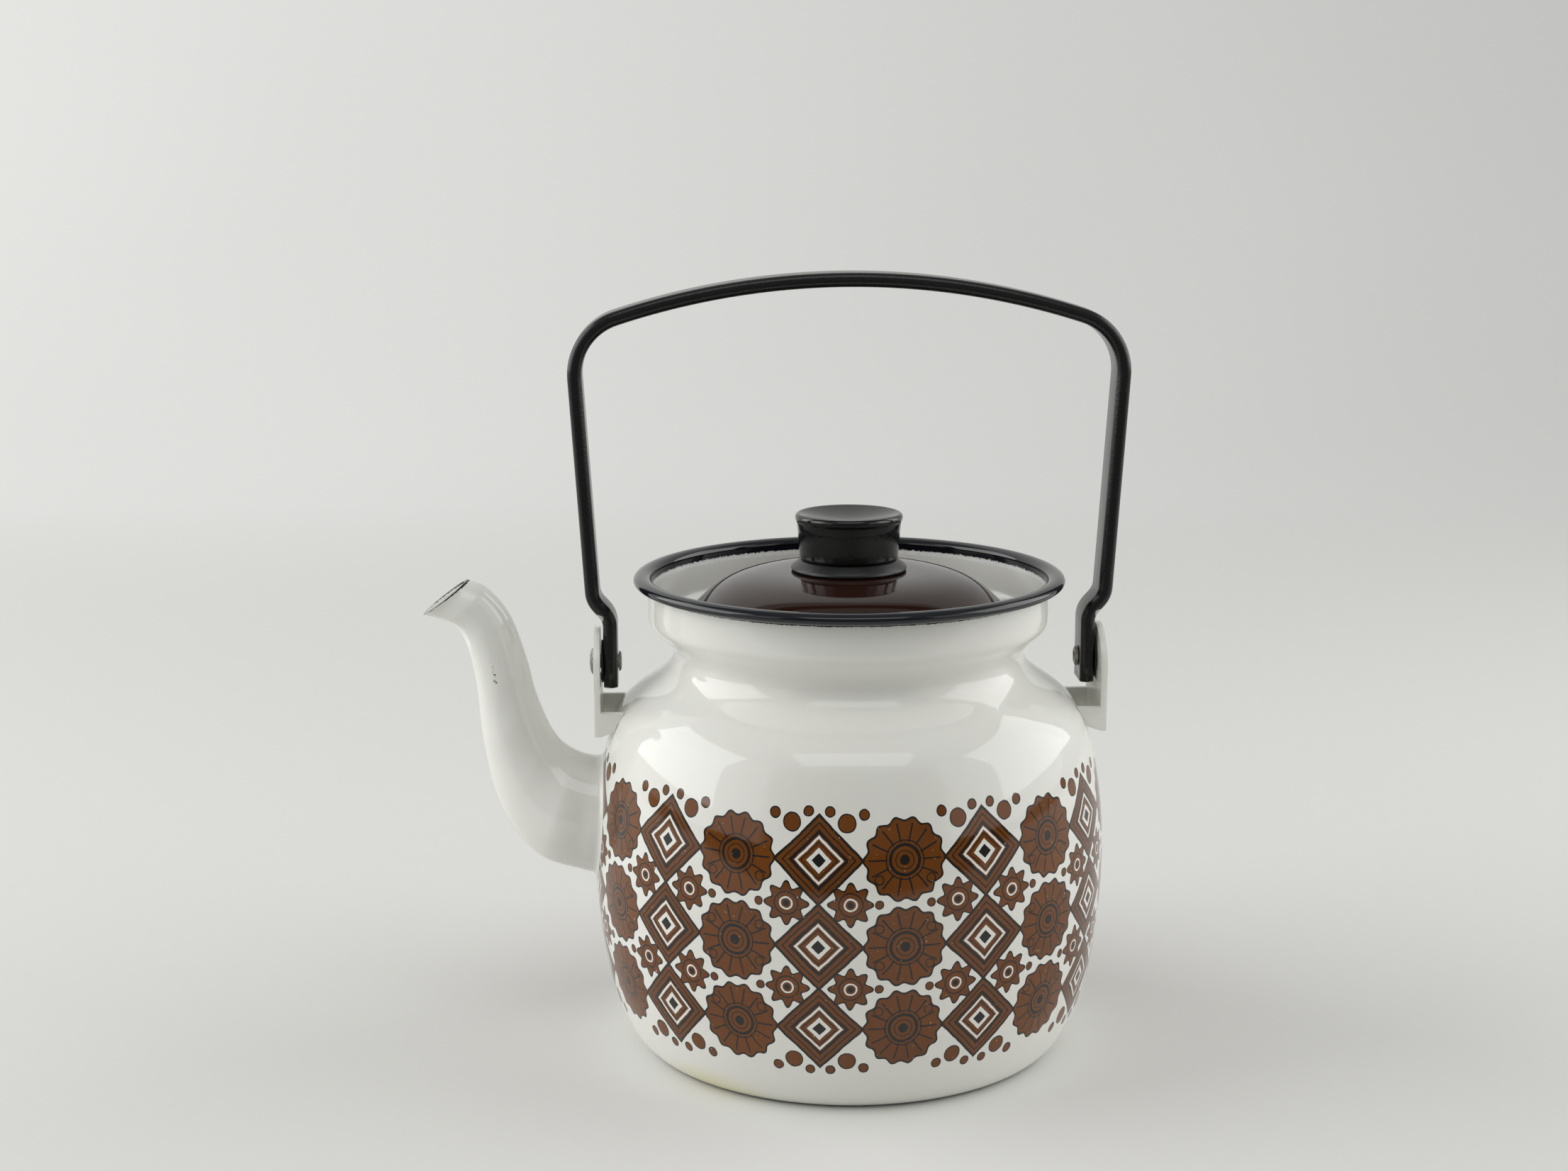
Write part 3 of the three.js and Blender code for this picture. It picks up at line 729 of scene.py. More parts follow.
def marked_body(settings, tree, place, tint):
    """The body's colour under its stain, its print, its black borders and a whiter band inside the
    collar that is partly painted highlight.
    """
    x, y, z = axes(tree, place)
    radius = hypotenuse(x, y)
    stain_x, stain_y = x - STAIN_SPOT[0], y - STAIN_SPOT[1]
    stain = (stain_x * stain_x + stain_y * stain_y + z * z * 6.0) ** 0.5
    tint = mixed(tree, inside(stain - 14.0, 22.0) * 0.7, tint, STAIN_COLOR)
    brown, black = printed_band(tree, place)
    shade = noise(tree, place, 0.05, 4.0, 0.6)
    ink = mixed(tree, shade, settings.ink_brown, settings.ink_dark)
    tint = mixed(tree, brown, tint, ink)
    tint = mixed(tree, black, tint, settings.line_black)
    ragged = (noise(tree, place, 0.9, 5.0, 0.75) - 0.5) * 1.6
    outer = above(z + ragged * 0.6, OUTER_BORDER, 0.15) * above(radius, BORDER_RADIUS, 0.1)
    within = inside(radius - BORDER_RADIUS, 0.1)
    inner = above(z + ragged * 1.4, INNER_BORDER, 0.25) * within
    # A whiter ragged band inside the collar just under the black: partly the white edge seen there,
    # partly painted highlight that makes the inside brighter near the top.
    white_edge_and_highlight = inside(abs(z - WHITE_EDGE_HIGHLIGHT_HEIGHT) - 0.5, 0.5) * above(ragged, -0.1, 0.3) * within
    foot = inside(z + ragged * 0.5 - 0.55, 0.3)
    foot = foot * above(radius + ragged, FOOT_RADIUS - 2.0, 0.4)
    tint = mixed(tree, white_edge_and_highlight * 0.8, tint, (0.93, 0.95, 0.96))
    return mixed(tree, outer.most(inner).most(foot), tint, settings.black)


def white_enamel(settings, name, body=False, with_painted_light=False):
    """Warm white enamel with pinholes and, on the body, its stain, its print and its borders; on
    the ears a lighter white that is painted light.
    """
    # The ears take a lighter white than the body's same enamel: painted light on their brightly lit
    # faces.
    white = settings.ear_white_painted_light if with_painted_light else settings.white
    material, tree, shader, place = finish_of(name, white, settings.gloss)
    tint = aged(settings, tree, place, white, 0.5)
    if body:
        tint = marked_body(settings, tree, place, tint)
    painted(tree, shader, mixed(tree, specks(tree, place, 9.0, 0.05), tint, PIT_COLOR))
    enamel_skin(tree, shader, place)
    return material


def spout_enamel(settings):
    """White enamel with a line of chips down the spout, a worn black edge round its mouth and
    painted light that whitens its inside near the mouth.
    """
    material, tree, shader, place = finish_of("Spout_enamel", settings.white, settings.gloss)
    x, y, z = axes(tree, place)
    tint = aged(settings, tree, place, settings.white, 0.25)
    rough = noise(tree, place, 1.1, 4.0, 0.7)
    slant = x * -MOUTH_RUN + z * MOUTH_RISE
    across = (x * MOUTH_RISE + z * MOUTH_RUN + BORE_SHIFT) / BORE_HALVES[0]
    sideways = y / BORE_HALVES[1]
    # Painted light: the spout's inside near the mouth is made whiter than the enamel, as if lit.
    bore_painted_light = inside(across * across + sideways * sideways - 1.0, 0.2)
    tint = mixed(tree, bore_painted_light * above(slant, BORE_LIGHT_START, 4.0), tint, (0.95, 0.955, 0.93))
    edge = above(slant + (rough - 0.5) * 0.9, LIP_START, 0.2)
    tint = mixed(tree, edge, tint, settings.black)
    chip_x, chip_z = x + z * 0.15 - SPOUT_CHIP[0], z - SPOUT_CHIP[1]
    chip = chip_x * chip_x * 22.0 + chip_z * chip_z * 0.7
    chips = inside(chip - 8.0, 2.0) * above(rough, 0.58, 0.04) * inside(y)
    tint = mixed(tree, chips.most(specks(tree, place, 8.0, 0.04)), tint, (0.03, 0.03, 0.033))
    painted(tree, shader, tint)
    enamel_skin(tree, shader, place)
    return material


def dark_enamel(settings, name, color, glow):
    """Glossy dark enamel with faint dust and fine pits."""
    material, tree, shader, place = finish_of(name, color, 0.12)
    dust = above(noise(tree, place, 0.5, 5.0, 0.7), 0.66, 0.2) * 0.25
    tint = mixed(tree, dust, color, glow)
    tint = mixed(tree, specks(tree, place, 5.0, 0.05), tint, glow)
    painted(tree, shader, tint, noise(tree, place, 0.08, 4.0) * 0.08 + 0.04)
    enamel_skin(tree, shader, place)
    return material


def bail_coat(settings):
    """Satin black coat, worn to the steel at the joggles and the leg ends."""
    material, tree, shader, place = finish_of("Bail_coat", settings.bail_black, 0.3)
    shader.inputs["Specular IOR Level"].default_value = 0.36
    x, y, z = axes(tree, place)
    grain = noise(tree, place, 1.4, 4.0, 0.65)
    patch = noise(tree, place, 0.7, 3.0)
    rub_y, rub_z = abs(y) - RUB_SPOT[0], z - RUB_SPOT[1]
    rub = (rub_z * rub_z + rub_y * rub_y * 0.5) ** 0.5 - 1.7 + patch * 1.6
    rub = inside(rub, 0.5) * above(abs(x), RUB_FACE, 0.6)
    chip = hypotenuse(abs(x) - JOGGLE_CHIP[0], z - JOGGLE_CHIP[1]) - 1.7 + patch
    chip = inside(chip, 0.3) * above(abs(y), 5.6, 0.3)
    foot = inside(z - LEG_END + (patch - 0.5) * 1.2, 0.3)
    nicks = specks(tree, place, 3.0, 0.07) * 0.7
    worn = rub.most(chip).most(foot).most(nicks)
    tint = mixed(tree, grain * 0.5, settings.bail_black, (0.018, 0.019, 0.018))
    tint = mixed(tree, worn * 0.9, tint, (0.50, 0.49, 0.46))
    painted(tree, shader, tint, grain * 0.09 + 0.16)
    bumped(tree, shader, noise(tree, place, 1.2, 3.0) + worn * -0.6, 0.00005)
    return material


def moulded(name, color, gloss, scratches):
    """Moulded black plastic with fine scratches and a little dust."""
    material, tree, shader, place = finish_of(name, color, gloss)
    squeezed = node(tree, "ShaderNodeMapping", Vector=place, Scale=(0.35, 1.6, 1.0))
    lines = noise(tree, squeezed.outputs[0], 1.2, 5.0, 0.7)
    dust = specks(tree, place, 2.2, 0.08)
    tint = mixed(tree, dust * 0.3, color, (0.25, 0.25, 0.24))
    painted(tree, shader, tint, lines * scratches + gloss)
    bumped(tree, shader, noise(tree, place, 0.6, 3.0) + lines * 0.3, 0.00003)
    return material


def bare_metal(name, color, roughness, tarnish):
    """Dull metal with tarnish in patches."""
    material, tree, shader, place = finish_of(name, color, roughness, metallic=1.0)
    patch = noise(tree, place, 0.9, 4.0, 0.65)
    tint = mixed(tree, above(patch, 0.5, 0.25) * 0.7, color, tarnish)
    painted(tree, shader, tint, patch * 0.35 + roughness * 0.6)
    bumped(tree, shader, noise(tree, place, 2.2, 3.0), 0.00008)
    return material


# Settings that a user would change


def length_property(label, description, default, low, high):
    """A length in metres for the settings."""
    return bpy.props.FloatProperty(
        name=label, description=description, default=default, min=low, max=high,
        subtype="DISTANCE", unit="LENGTH",
    )


def color_property(label, description, default):
    """A colour for the settings."""
    return bpy.props.FloatVectorProperty(
        name=label, description=description, default=default, size=3,
        min=0.0, max=1.0, subtype="COLOR",
    )


class PotBodySettings(bpy.types.PropertyGroup):
    """Sizes of the body and its rim"""

    wall: length_property("Sheet", "Thickness of the enamelled sheet", 0.0012, 0.0005, 0.003)
    segments: bpy.props.IntProperty(
        name="Segments", description="Faces round the body", default=160, min=32, max=256
    )


class PotBailSettings(bpy.types.PropertyGroup):
    """Sizes of the bail"""

    width: length_property("Width", "Width of the flattened tube", 0.014, 0.006, 0.03)
    thickness: length_property(
        "Thickness", "Thickness of the flattened tube", 0.0044, 0.002, 0.012
    )
    edge: length_property("Edge radius", "Radius of the tube's edges", 0.002, 0.0003, 0.006)


class PotFinishSettings(bpy.types.PropertyGroup):
    """Colours of the finishes"""

    white: color_property("White", "Enamel of body and spout", (0.80, 0.805, 0.765))
    # Painted light: the ears' enamel is the body's white, made lighter to stand in for the light on
    # them.
    ear_white_painted_light: color_property("Ear white with painted light", "Enamel of the ears", (0.87, 0.875, 0.83))
    aged_white: color_property("Aged white", "Where the white has yellowed", (0.765, 0.76, 0.70))
    black: color_property("Rim black", "Enamel of the rolled rim", (0.004, 0.005, 0.009))
    brown: color_property("Lid brown", "Enamel of the lid", (0.022, 0.008, 0.005))
    ink_brown: color_property("Ink brown", "Printed brown", (0.185, 0.054, 0.003))
    ink_dark: color_property("Ink dark", "Printed brown where it is thick", (0.105, 0.030, 0.002))
    line_black: color_property("Ink black", "Printed outlines", (0.012, 0.011, 0.010))
    bail_black: color_property("Bail black", "Coat of the bail", (0.006, 0.0065, 0.0065))
    knob_black: color_property("Knob black", "Moulded knob", (0.005, 0.0055, 0.0055))
    gloss: bpy.props.FloatProperty(
        name="Enamel roughness", description="Roughness of the white enamel", default=0.05,
        min=0.0, max=1.0, subtype="FACTOR",
    )


class PotStudioSettings(bpy.types.PropertyGroup):
    """Camera, floor and light"""

    focal_length: bpy.props.FloatProperty(
        name="Focal length", description="Lens of the camera, in millimetres", default=54.72,
        min=20.0, max=200.0,
    )
    floor: color_property("Floor", "Floor and backdrop", (0.76, 0.76, 0.74))
    light: bpy.props.FloatProperty(
        name="Light", description="Strength of all the lamps, as a share", default=1.0,
        min=0.0, max=4.0, subtype="FACTOR",
    )
    turn: bpy.props.FloatProperty(
        name="Turn", description="How far the pot is turned from the camera's axis",
        default=math.radians(4.0), subtype="ANGLE", unit="ROTATION",
    )


# Pieces


def body_outline():
    """Outer face of the body from the middle of its base to the rim."""
    outline = [(0.0, 0.0), (FOOT_RADIUS - FOOT_ROUND, 0.0)]
    first = bow((FOOT_RADIUS, 0.0), BELLY, BODY_BOWS[0][1], BOW_STEPS * 2)
    corner, leave = Vector((FOOT_RADIUS, 0.0)), Vector(first[1])
    start = Vector(outline[-1])
    outline += [tuple(round_point(start, corner, leave, t)) for t in (0.25, 0.5, 0.75)]
    outline += first[1:]
    for end, shares in BODY_BOWS[1:]:
        outline += bow(outline[-1], end, shares, BOW_STEPS)
    heights = (COLLAR[1] + 3.6, RIM_HEIGHT - 3.2, RIM_HEIGHT - 0.3)
    return outline + [(COLLAR[0], height) for height in heights]


def strainer_tree():
    """Cuts a round hole along X at each point of the object that marks the holes."""
    tree = new_tree(
        "Strainer holes",
        (
            ("Holes", "Object", None),
            ("Radius", "Float", STRAINER_RADIUS * MILLIMETRE),
            ("Finish", "Material", None),
        ),
    )
    start = tree.nodes.new("NodeGroupInput")
    spots = node(tree, "GeometryNodeObjectInfo", Object=start.outputs["Holes"])
    rod = node(
        tree, "GeometryNodeMeshCylinder", Vertices=20, Radius=start.outputs["Radius"], Depth=0.03
    )
    placed = node(
        tree, "GeometryNodeInstanceOnPoints", Points=spots.outputs["Geometry"],
        Instance=rod.outputs["Mesh"], Rotation=(0.0, math.pi / 2, 0.0),
    )
    rods = node(tree, "GeometryNodeRealizeInstances", Geometry=placed.outputs[0])
    cut = node(tree, "GeometryNodeMeshBoolean", {"operation": "DIFFERENCE"})
    feed(tree, cut.inputs[0], start.outputs["Geometry"])
    feed(tree, cut.inputs[1], rods.outputs[0])
    close_tree(tree, cut.outputs[0], start.outputs["Finish"])
    return tree


class POT_OT_body(bpy.types.Operator):
    """Make the body with its strainer holes"""

    bl_idname = "pot.body"
    bl_label = "Body"

    def execute(self, context):
        settings = context.scene.pot_body
        finish = white_enamel(context.scene.pot_finish, "Printed_enamel", body=True)
        outer = body_outline()
        inner = offset(outer, settings.wall / MILLIMETRE)
        inner = [point for point in inner if point[0] > 0]
        outline = outer + inner[::-1] + [(0.0, settings.wall / MILLIMETRE)]
        shell = turned("body", outline, finish, settings.segments)
        holes = [(0.0, 0.0)]
        for i in range(6):
            near, far = math.radians(60 * i), math.radians(60 * i + 30)
            holes.append((STRAINER_PITCH * math.cos(near), STRAINER_PITCH * math.sin(near)))
            reach = STRAINER_PITCH * math.sqrt(3)
            holes.append((reach * math.cos(far), reach * math.sin(far)))
        spots = mesh_from_points("holes", [(-BELLY[0], y, SPOUT_ROOT_HEIGHT + z) for y, z in holes])
        marker = remade("strainer_spots", spots)
        piece = grown(
            "body", shell.data, strainer_tree(), holes=marker,
            radius=STRAINER_RADIUS * MILLIMETRE, finish=finish,
        )
        bpy.data.objects.remove(marker)
        tidy(piece, 35.0, outward=False)
        mark_outside(piece)
        settle(piece, "pot", finish, "white_enamel", "body_shell")
        return {"FINISHED"}


class POT_OT_rim(bpy.types.Operator):
    """Make the rolled rim"""

    bl_idname = "pot.rim"
    bl_label = "Rolled rim"

    def execute(self, context):
        wall = context.scene.pot_body.wall / MILLIMETRE
        colors = context.scene.pot_finish
        finish = dark_enamel(colors, "Rim_enamel", tuple(colors.black), (0.02, 0.022, 0.028))
        reach, half = BEAD_WIDTH / 2, BEAD_HEIGHT / 2
        centre = COLLAR[0] - wall + reach
        tuck = math.degrees(math.acos((COLLAR[0] + 0.15 - centre) / reach))
        outline = [
            (centre + r, RIM_HEIGHT + h * half / reach)
            for r, h in arc((0.0, 0.0), reach, -tuck, 180.0, 28)
        ]
        outline += [
            (centre + r, RIM_HEIGHT + h * (half - wall) / (reach - wall))
            for r, h in arc((0.0, 0.0), reach - wall, 180.0, -tuck, 14)
        ]
        piece = turned("rim", outline, finish, context.scene.pot_body.segments, 50.0)
        settle(piece, "pot", finish, "black_enamel", "rim_bead")
        return {"FINISHED"}


def body_radius_at(height):
    """Radius of the body's outer face at a height, in millimetres."""
    outline = body_outline()
    for (r0, z0), (r1, z1) in zip(outline[2:], outline[3:]):
        if z0 <= height <= z1:
            return r0 + (r1 - r0) * (height - z0) / max(z1 - z0, 1e-9)
    return FOOT_RADIUS


class POT_OT_spout(bpy.types.Operator):
    """Make the gooseneck spout between its two rails, cut to the body at its root"""

    bl_idname = "pot.spout"
    bl_label = "Spout"

    def execute(self, context):
        wall = context.scene.pot_body.wall / MILLIMETRE
        finish = spout_enamel(context.scene.pot_finish)
        outer = with_weld(trimmed_columns(spout_rings(0.0)))
        inner = trimmed_columns(spout_rings(wall))
        columns = []
        for out, into in zip(outer, inner):
            lip = (out[-1] + into[-1]) / 2
            ahead = (out[-1] - out[-2]).normalized() * wall * 0.3
            quarters = [
                (end * 0.75 + lip * 0.25) + ahead * 0.8 for end in (out[-1], into[-1])
            ]
            columns.append(out + [quarters[0], lip + ahead, quarters[1]] + into[::-1])
        rows = len(columns[0])
        points = [point * MILLIMETRE for column in columns for point in column]
        faces = []
        for side in range(SPOUT_SIDES):
            beside = (side + 1) % SPOUT_SIDES
            for row in range(rows):
                above_row = (row + 1) % rows
                faces.append((
                    side * rows + row, beside * rows + row,
                    beside * rows + above_row, side * rows + above_row,
                ))
        mesh = bpy.data.meshes.new("spout")
        mesh.from_pydata(points, [], faces)
        piece = remade("spout_skin", mesh)
        tidy(piece, 50.0)
        settle(piece, "pot", finish, "white_enamel", "spout")
        return {"FINISHED"}


def rail_point(reach, rise):
    """Place on a rail of the spout, from its shares of the spout's reach and rise."""
    return Vector((-BELLY[0] - reach * SPOUT_REACH, SPOUT_ROOT_HEIGHT + rise * SPOUT_RISE))


def spout_rings(inset):
    """Rings of points in millimetres that stand across the spout between its rails."""
    rails = spline(SPOUT_STATIONS, SPOUT_RINGS)
    rings = []
    for i, rail in enumerate(rails):
        before, after = neighbours(rails, i)
        under, upper = rail_point(rail[0], rail[1]), rail_point(rail[2], rail[3])
        along = Vector((
            -(after[0] - before[0] + after[2] - before[2]) * SPOUT_REACH,
            (after[1] - before[1] + after[3] - before[3]) * SPOUT_RISE,
        )).normalized()
        span = upper - under
        slant = abs(span.x * along.y - span.y * along.x) / span.length
        depth = span.normalized() * (span.length / 2 - inset / slant)
        width = span.length / 2 * slant - inset
        middle = (under + upper) / 2
        ring = []
        for side in range(SPOUT_SIDES):
            angle = math.tau * side / SPOUT_SIDES
            point = middle + depth * math.cos(angle)
            ring.append(Vector((point.x, width * math.sin(angle), point.y)))
        rings.append(ring)
    return rings


def depth_in_body(point):
    """How far a point in millimetres lies inside the body's outer face, along the radius."""
    return body_radius_at(point.z) - math.hypot(point.x, point.y)


def trimmed_columns(rings):
    """The rings' lines, from where each leaves the body to the mouth, with one number of rows."""
    last = len(rings) - 1
    columns = []
    for side in range(SPOUT_SIDES):
        line = [ring[side] for ring in rings]
        inner_row = max(i for i in range(last) if depth_in_body(line[i]) > 0.0)
        low, high = 0.0, 1.0
        for _ in range(24):
            share = (low + high) / 2
            if depth_in_body(line[inner_row].lerp(line[inner_row + 1], share)) > 0.0:
                low = share
            else:
                high = share
        start = inner_row + low
        places = [start + (last - start) * row / (SPOUT_ROWS - 1) for row in range(SPOUT_ROWS)]
        columns.append([between(line, place) for place in places])
    return columns


def with_weld(columns):
    """The columns with a small hollow round at the body, as enamel fills a weld."""
    centre = sum((column[0] for column in columns), Vector()) / len(columns)
    made = []
    for column in columns:
        corner = column[0]
        radius = math.hypot(corner.x, corner.y)
        slope = (body_radius_at(corner.z + 1) - body_radius_at(corner.z - 1)) / 2
        normal = Vector((corner.x / radius, corner.y / radius, -slope)).normalized()
        away = corner - centre
        away = (away - normal * away.dot(normal)).normalized()
        foot = corner + away * WELD_ROUND
        level = (body_radius_at(foot.z) + 0.03) / math.hypot(foot.x, foot.y)
        foot = Vector((foot.x * level, foot.y * level, foot.z))
        travelled, row = 0.0, 0
        while travelled < WELD_ROUND:
            row += 1
            travelled = (column[row] - corner).length
        end = column[row]
        weld = [
            round_point(foot, corner, end, step / WELD_STEPS) for step in range(WELD_STEPS + 1)
        ]
        count = SPOUT_ROWS - len(weld)
        rest = column[row:]
        tail = [between(rest, step * (len(rest) - 1) / count) for step in range(1, count + 1)]
        made.append(weld + tail)
    return made


def thickened(piece, wall):
    """Gives an open skin its wall, inwards."""
    modifier = piece.modifiers.new("Wall", "SOLIDIFY")
    modifier.thickness = wall
    modifier.offset = -1.0
    shape = evaluated(piece)
    piece.modifiers.remove(modifier)
    piece.data = shape


# Bail and its pivots

BAIL_SHEET = 1.0
BAIL_TOP = 242.0
BAIL_SPREAD = 8.6
ARCH_RADIUS = 233.0
CORNER_RADIUS = 20.3
LEG_LEAN = 3.6
FOOT_DROP = 7.1
JOGGLE = (11.7, 22.8)


def bail_path(thickness):
    """Middle line of the bail above its pivots, as (x, height), from left to right."""
    half = thickness / 2
    corner_x = EAR_REACH + BAIL_SPREAD - CORNER_RADIUS
    arch_z = BAIL_TOP - PIVOT_HEIGHT - ARCH_RADIUS
    corner_z = arch_z + math.sqrt((ARCH_RADIUS - CORNER_RADIUS) ** 2 - corner_x**2)
    turn = math.degrees(math.atan2(corner_z - arch_z, corner_x))
    lean = math.radians(LEG_LEAN)
    foot_x = EAR_REACH - 2 * WASHER_GAP - WASHER_SHEET - half
    bend = CORNER_RADIUS - half

    def leg_x(height):
        drop = corner_z - bend * math.sin(lean) - height
        return corner_x + bend * math.cos(lean) - drop * math.tan(lean)

    third = (JOGGLE[1] - JOGGLE[0]) / 2
    joggle = (
        (foot_x, JOGGLE[0]), (foot_x, JOGGLE[0] + third),
        (leg_x(JOGGLE[1] - third), JOGGLE[1] - third), (leg_x(JOGGLE[1]), JOGGLE[1]),
    )
    right = [(foot_x, -FOOT_DROP + i * (JOGGLE[0] + FOOT_DROP) / 4) for i in range(5)]
    right += bezier(joggle, 18)
    low = right[-1]
    corner = arc((corner_x, corner_z), bend, -LEG_LEAN, turn, 18)
    for step in range(1, 12):
        share = step / 12
        right.append(tuple(low[k] + (corner[0][k] - low[k]) * share for k in (0, 1)))
    right += corner
    right += arc((0.0, arch_z), ARCH_RADIUS - half, turn, 90.0, 26)[1:]
    return [(-x, z) for x, z in right] + [(x, z) for x, z in right[-2::-1]]


class POT_OT_bail(bpy.types.Operator):
    """Make the bail, a flattened tube with joggled legs"""

    bl_idname = "pot.bail"
    bl_label = "Bail"

    def execute(self, context):
        settings = context.scene.pot_bail
        thickness, width = settings.thickness / MILLIMETRE, settings.width / MILLIMETRE
        edge = settings.edge / MILLIMETRE
        finish = bail_coat(context.scene.pot_finish)
        path = bail_path(thickness)
        stations = []
        for i, (x, z) in enumerate(path):
            along = heading(path, i)
            stations.append((
                (x, 0.0, z + PIVOT_HEIGHT),
                Vector((along.y, 0.0, -along.x)),
                Vector((0.0, 1.0, 0.0)),
            ))
        u, v = thickness / 2 - edge, width / 2 - edge
        section = []
        for quarter, centre in enumerate(((u, v), (-u, v), (-u, -v), (u, -v))):
            section += arc(centre, edge, 90 * quarter, 90 * quarter + 90, 7)
        piece = swept("bail_tube", stations, section, finish)
        tidy(piece, 50.0)
        thickened(piece, BAIL_SHEET * MILLIMETRE)
        settle(piece, "bail", finish, "black_coat", "bail")
        return {"FINISHED"}


class POT_OT_ears(bpy.types.Operator):
    """Make both ears, their sheet edges softened by the enamel"""

    bl_idname = "pot.ears"
    bl_label = "Ears"

    def execute(self, context):
        # The ears' lighter white is painted light.
        finish = white_enamel(context.scene.pot_finish, "Ear_enamel", with_painted_light=True)
        right = remade("right_bracket", self.softened(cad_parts["right_ear"].data))
        left = remade("left_bracket", right.data.copy())
        left.data.transform(Matrix.Scale(-1.0, 4, Vector((1.0, 0.0, 0.0))))
        left.data.flip_normals()
        for piece, node_name in ((right, "right_ear"), (left, "left_ear")):
            tidy(piece, 35.0, outward=False)
            settle(piece, "pot", finish, "white_enamel", node_name)
        return {"FINISHED"}

    def softened(self, mesh):
        """The ear's mesh with its outer folds and its sheet edges rounded."""
        piece = remade("ear_sheet", mesh.copy())
        shape = bmesh.new()
        shape.from_mesh(piece.data)
        bmesh.ops.remove_doubles(shape, verts=shape.verts, dist=1e-5)
        bmesh.ops.dissolve_limit(
            shape, angle_limit=math.radians(1.0), verts=shape.verts, edges=shape.edges
        )
        weights = shape.edges.layers.float.new("bevel_weight_edge")
        outer = (EAR_REACH + EAR_SHEET) * MILLIMETRE
        low = min(vert.co.z for vert in shape.verts)
        for edge in shape.edges:
            if len(edge.link_faces) == 2 and edge.calc_face_angle() > EAR_CORNER:
                along = edge.verts[1].co - edge.verts[0].co
                fold = all(abs(v.co.x) > outer - 1e-5 for v in edge.verts)
                upright = abs(along.z) > 0.9 * along.length and along.length > 0.004
                bottom = all(v.co.z < low + 1e-5 for v in edge.verts)
                edge[weights] = 1.0 if fold and (upright or bottom) else 0.0
        shape.to_mesh(piece.data)
        shape.free()
        folds = piece.modifiers.new("Folds", "BEVEL")
        folds.width = FOLD_ROUND * MILLIMETRE
        folds.segments = 4
        folds.limit_method = "WEIGHT"
        edges = piece.modifiers.new("Sheet edges", "BEVEL")
        edges.width = SHEET_ROUND * MILLIMETRE
        edges.segments = 2
        edges.limit_method = "ANGLE"
        edges.angle_limit = EAR_CORNER
        made = evaluated(piece)
        bpy.data.objects.remove(piece)
        return made


class POT_OT_pivots(bpy.types.Operator):
    """Make the tubular rivets and the washers of both pivots"""

    bl_idname = "pot.pivots"
    bl_label = "Rivets and washers"

    def execute(self, context):
        steel = bare_metal("Rivet_steel", (0.36, 0.35, 0.33), 0.42, (0.10, 0.095, 0.085))
        plastic = moulded("Washer_plastic", (0.016, 0.017, 0.018), 0.5, 0.2)
        thickness = context.scene.pot_bail.thickness / MILLIMETRE
        near = EAR_REACH - WASHER_GAP - WASHER_SHEET
        clench = EAR_REACH - 2 * WASHER_GAP - WASHER_SHEET - thickness - RIVET_PROUD
        head = EAR_REACH + EAR_SHEET + RIVET_PROUD
        for side in ("left", "right"):
            rolled = arc((RIVET_BORE + CLENCH_RADIUS, clench), CLENCH_RADIUS, 180.0, 0.0, 10)
            rolled = [(r, clench - (h - clench) * CLENCH_RISE / CLENCH_RADIUS) for r, h in rolled]
            summit = (0.0, head + RIVET_DOME)
            dome = bow((RIVET_HEAD, head), summit, ((0.0, 0.6), (0.4, 1.0)), 14)
            outline = [
                (0.0, clench + RIVET_DEPTH), (RIVET_BORE, clench + RIVET_DEPTH), *rolled,
                (RIVET_SHANK, clench), (RIVET_SHANK, head),
                (RIVET_HEAD - 0.1, head), (RIVET_HEAD, head + 0.08), *dome,
            ]
            piece = turned(side + "_tube_rivet", outline, steel, 40)
            facing_side(piece, side)
            settle(piece, "pot", steel, "dull_steel", side + "_rivet")
            far = near + WASHER_SHEET
            ring = [
                (WASHER_BORE, near), (WASHER_RADIUS, near),
                (WASHER_RADIUS, far), (WASHER_BORE, far),
            ]
            piece = turned(side + "_spacer", rounded(ring, 0.15), plastic, 40)
            facing_side(piece, side)
            settle(piece, "pot", plastic, "satin_plastic", side + "_washer")
        return {"FINISHED"}


# Lid and knob

LID_RADIUS = 57.0
LID_RISE = 19.6
LID_EDGE_ANGLE = 60.0
LID_BOW = ((0.7, 0.01), (0.645, 0.55))
LID_DROP = 8.0
LID_NECK_GAP = 0.9
LID_HOLE = 2.4
LID_CHAMFER = 0.4
RING_RADIUS = 17.9
RING_SIDE = (
    (17.6, 0.0), (17.9, 0.3), (17.9, 0.75), (17.65, 1.15), (16.4, 2.1), (15.3, 3.05), (15.0, 3.2),
)
KNOB_HEIGHT = 14.1
KNOB_BORE = (3.8, 8.3)
KNOB_FOOT = ((14.6, 0.0), (15.0, 0.12), (15.25, 0.4), (15.33, 0.9))
KNOB_SIDE = ((15.9, -5.2), (16.2, -2.9), (16.36, -2.35), (16.6, -2.05))
KNOB_EDGE = (15.5, 1.2)
KNOB_DISH = 2.6
KNOB_BOW = ((0.3, 0.55), (0.65, 1.0))


def lid_seat():
    """Height of the underside of the lid's folded edge, from its CAD node."""
    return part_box("lid_shell")[0].z / MILLIMETRE + LID_DROP


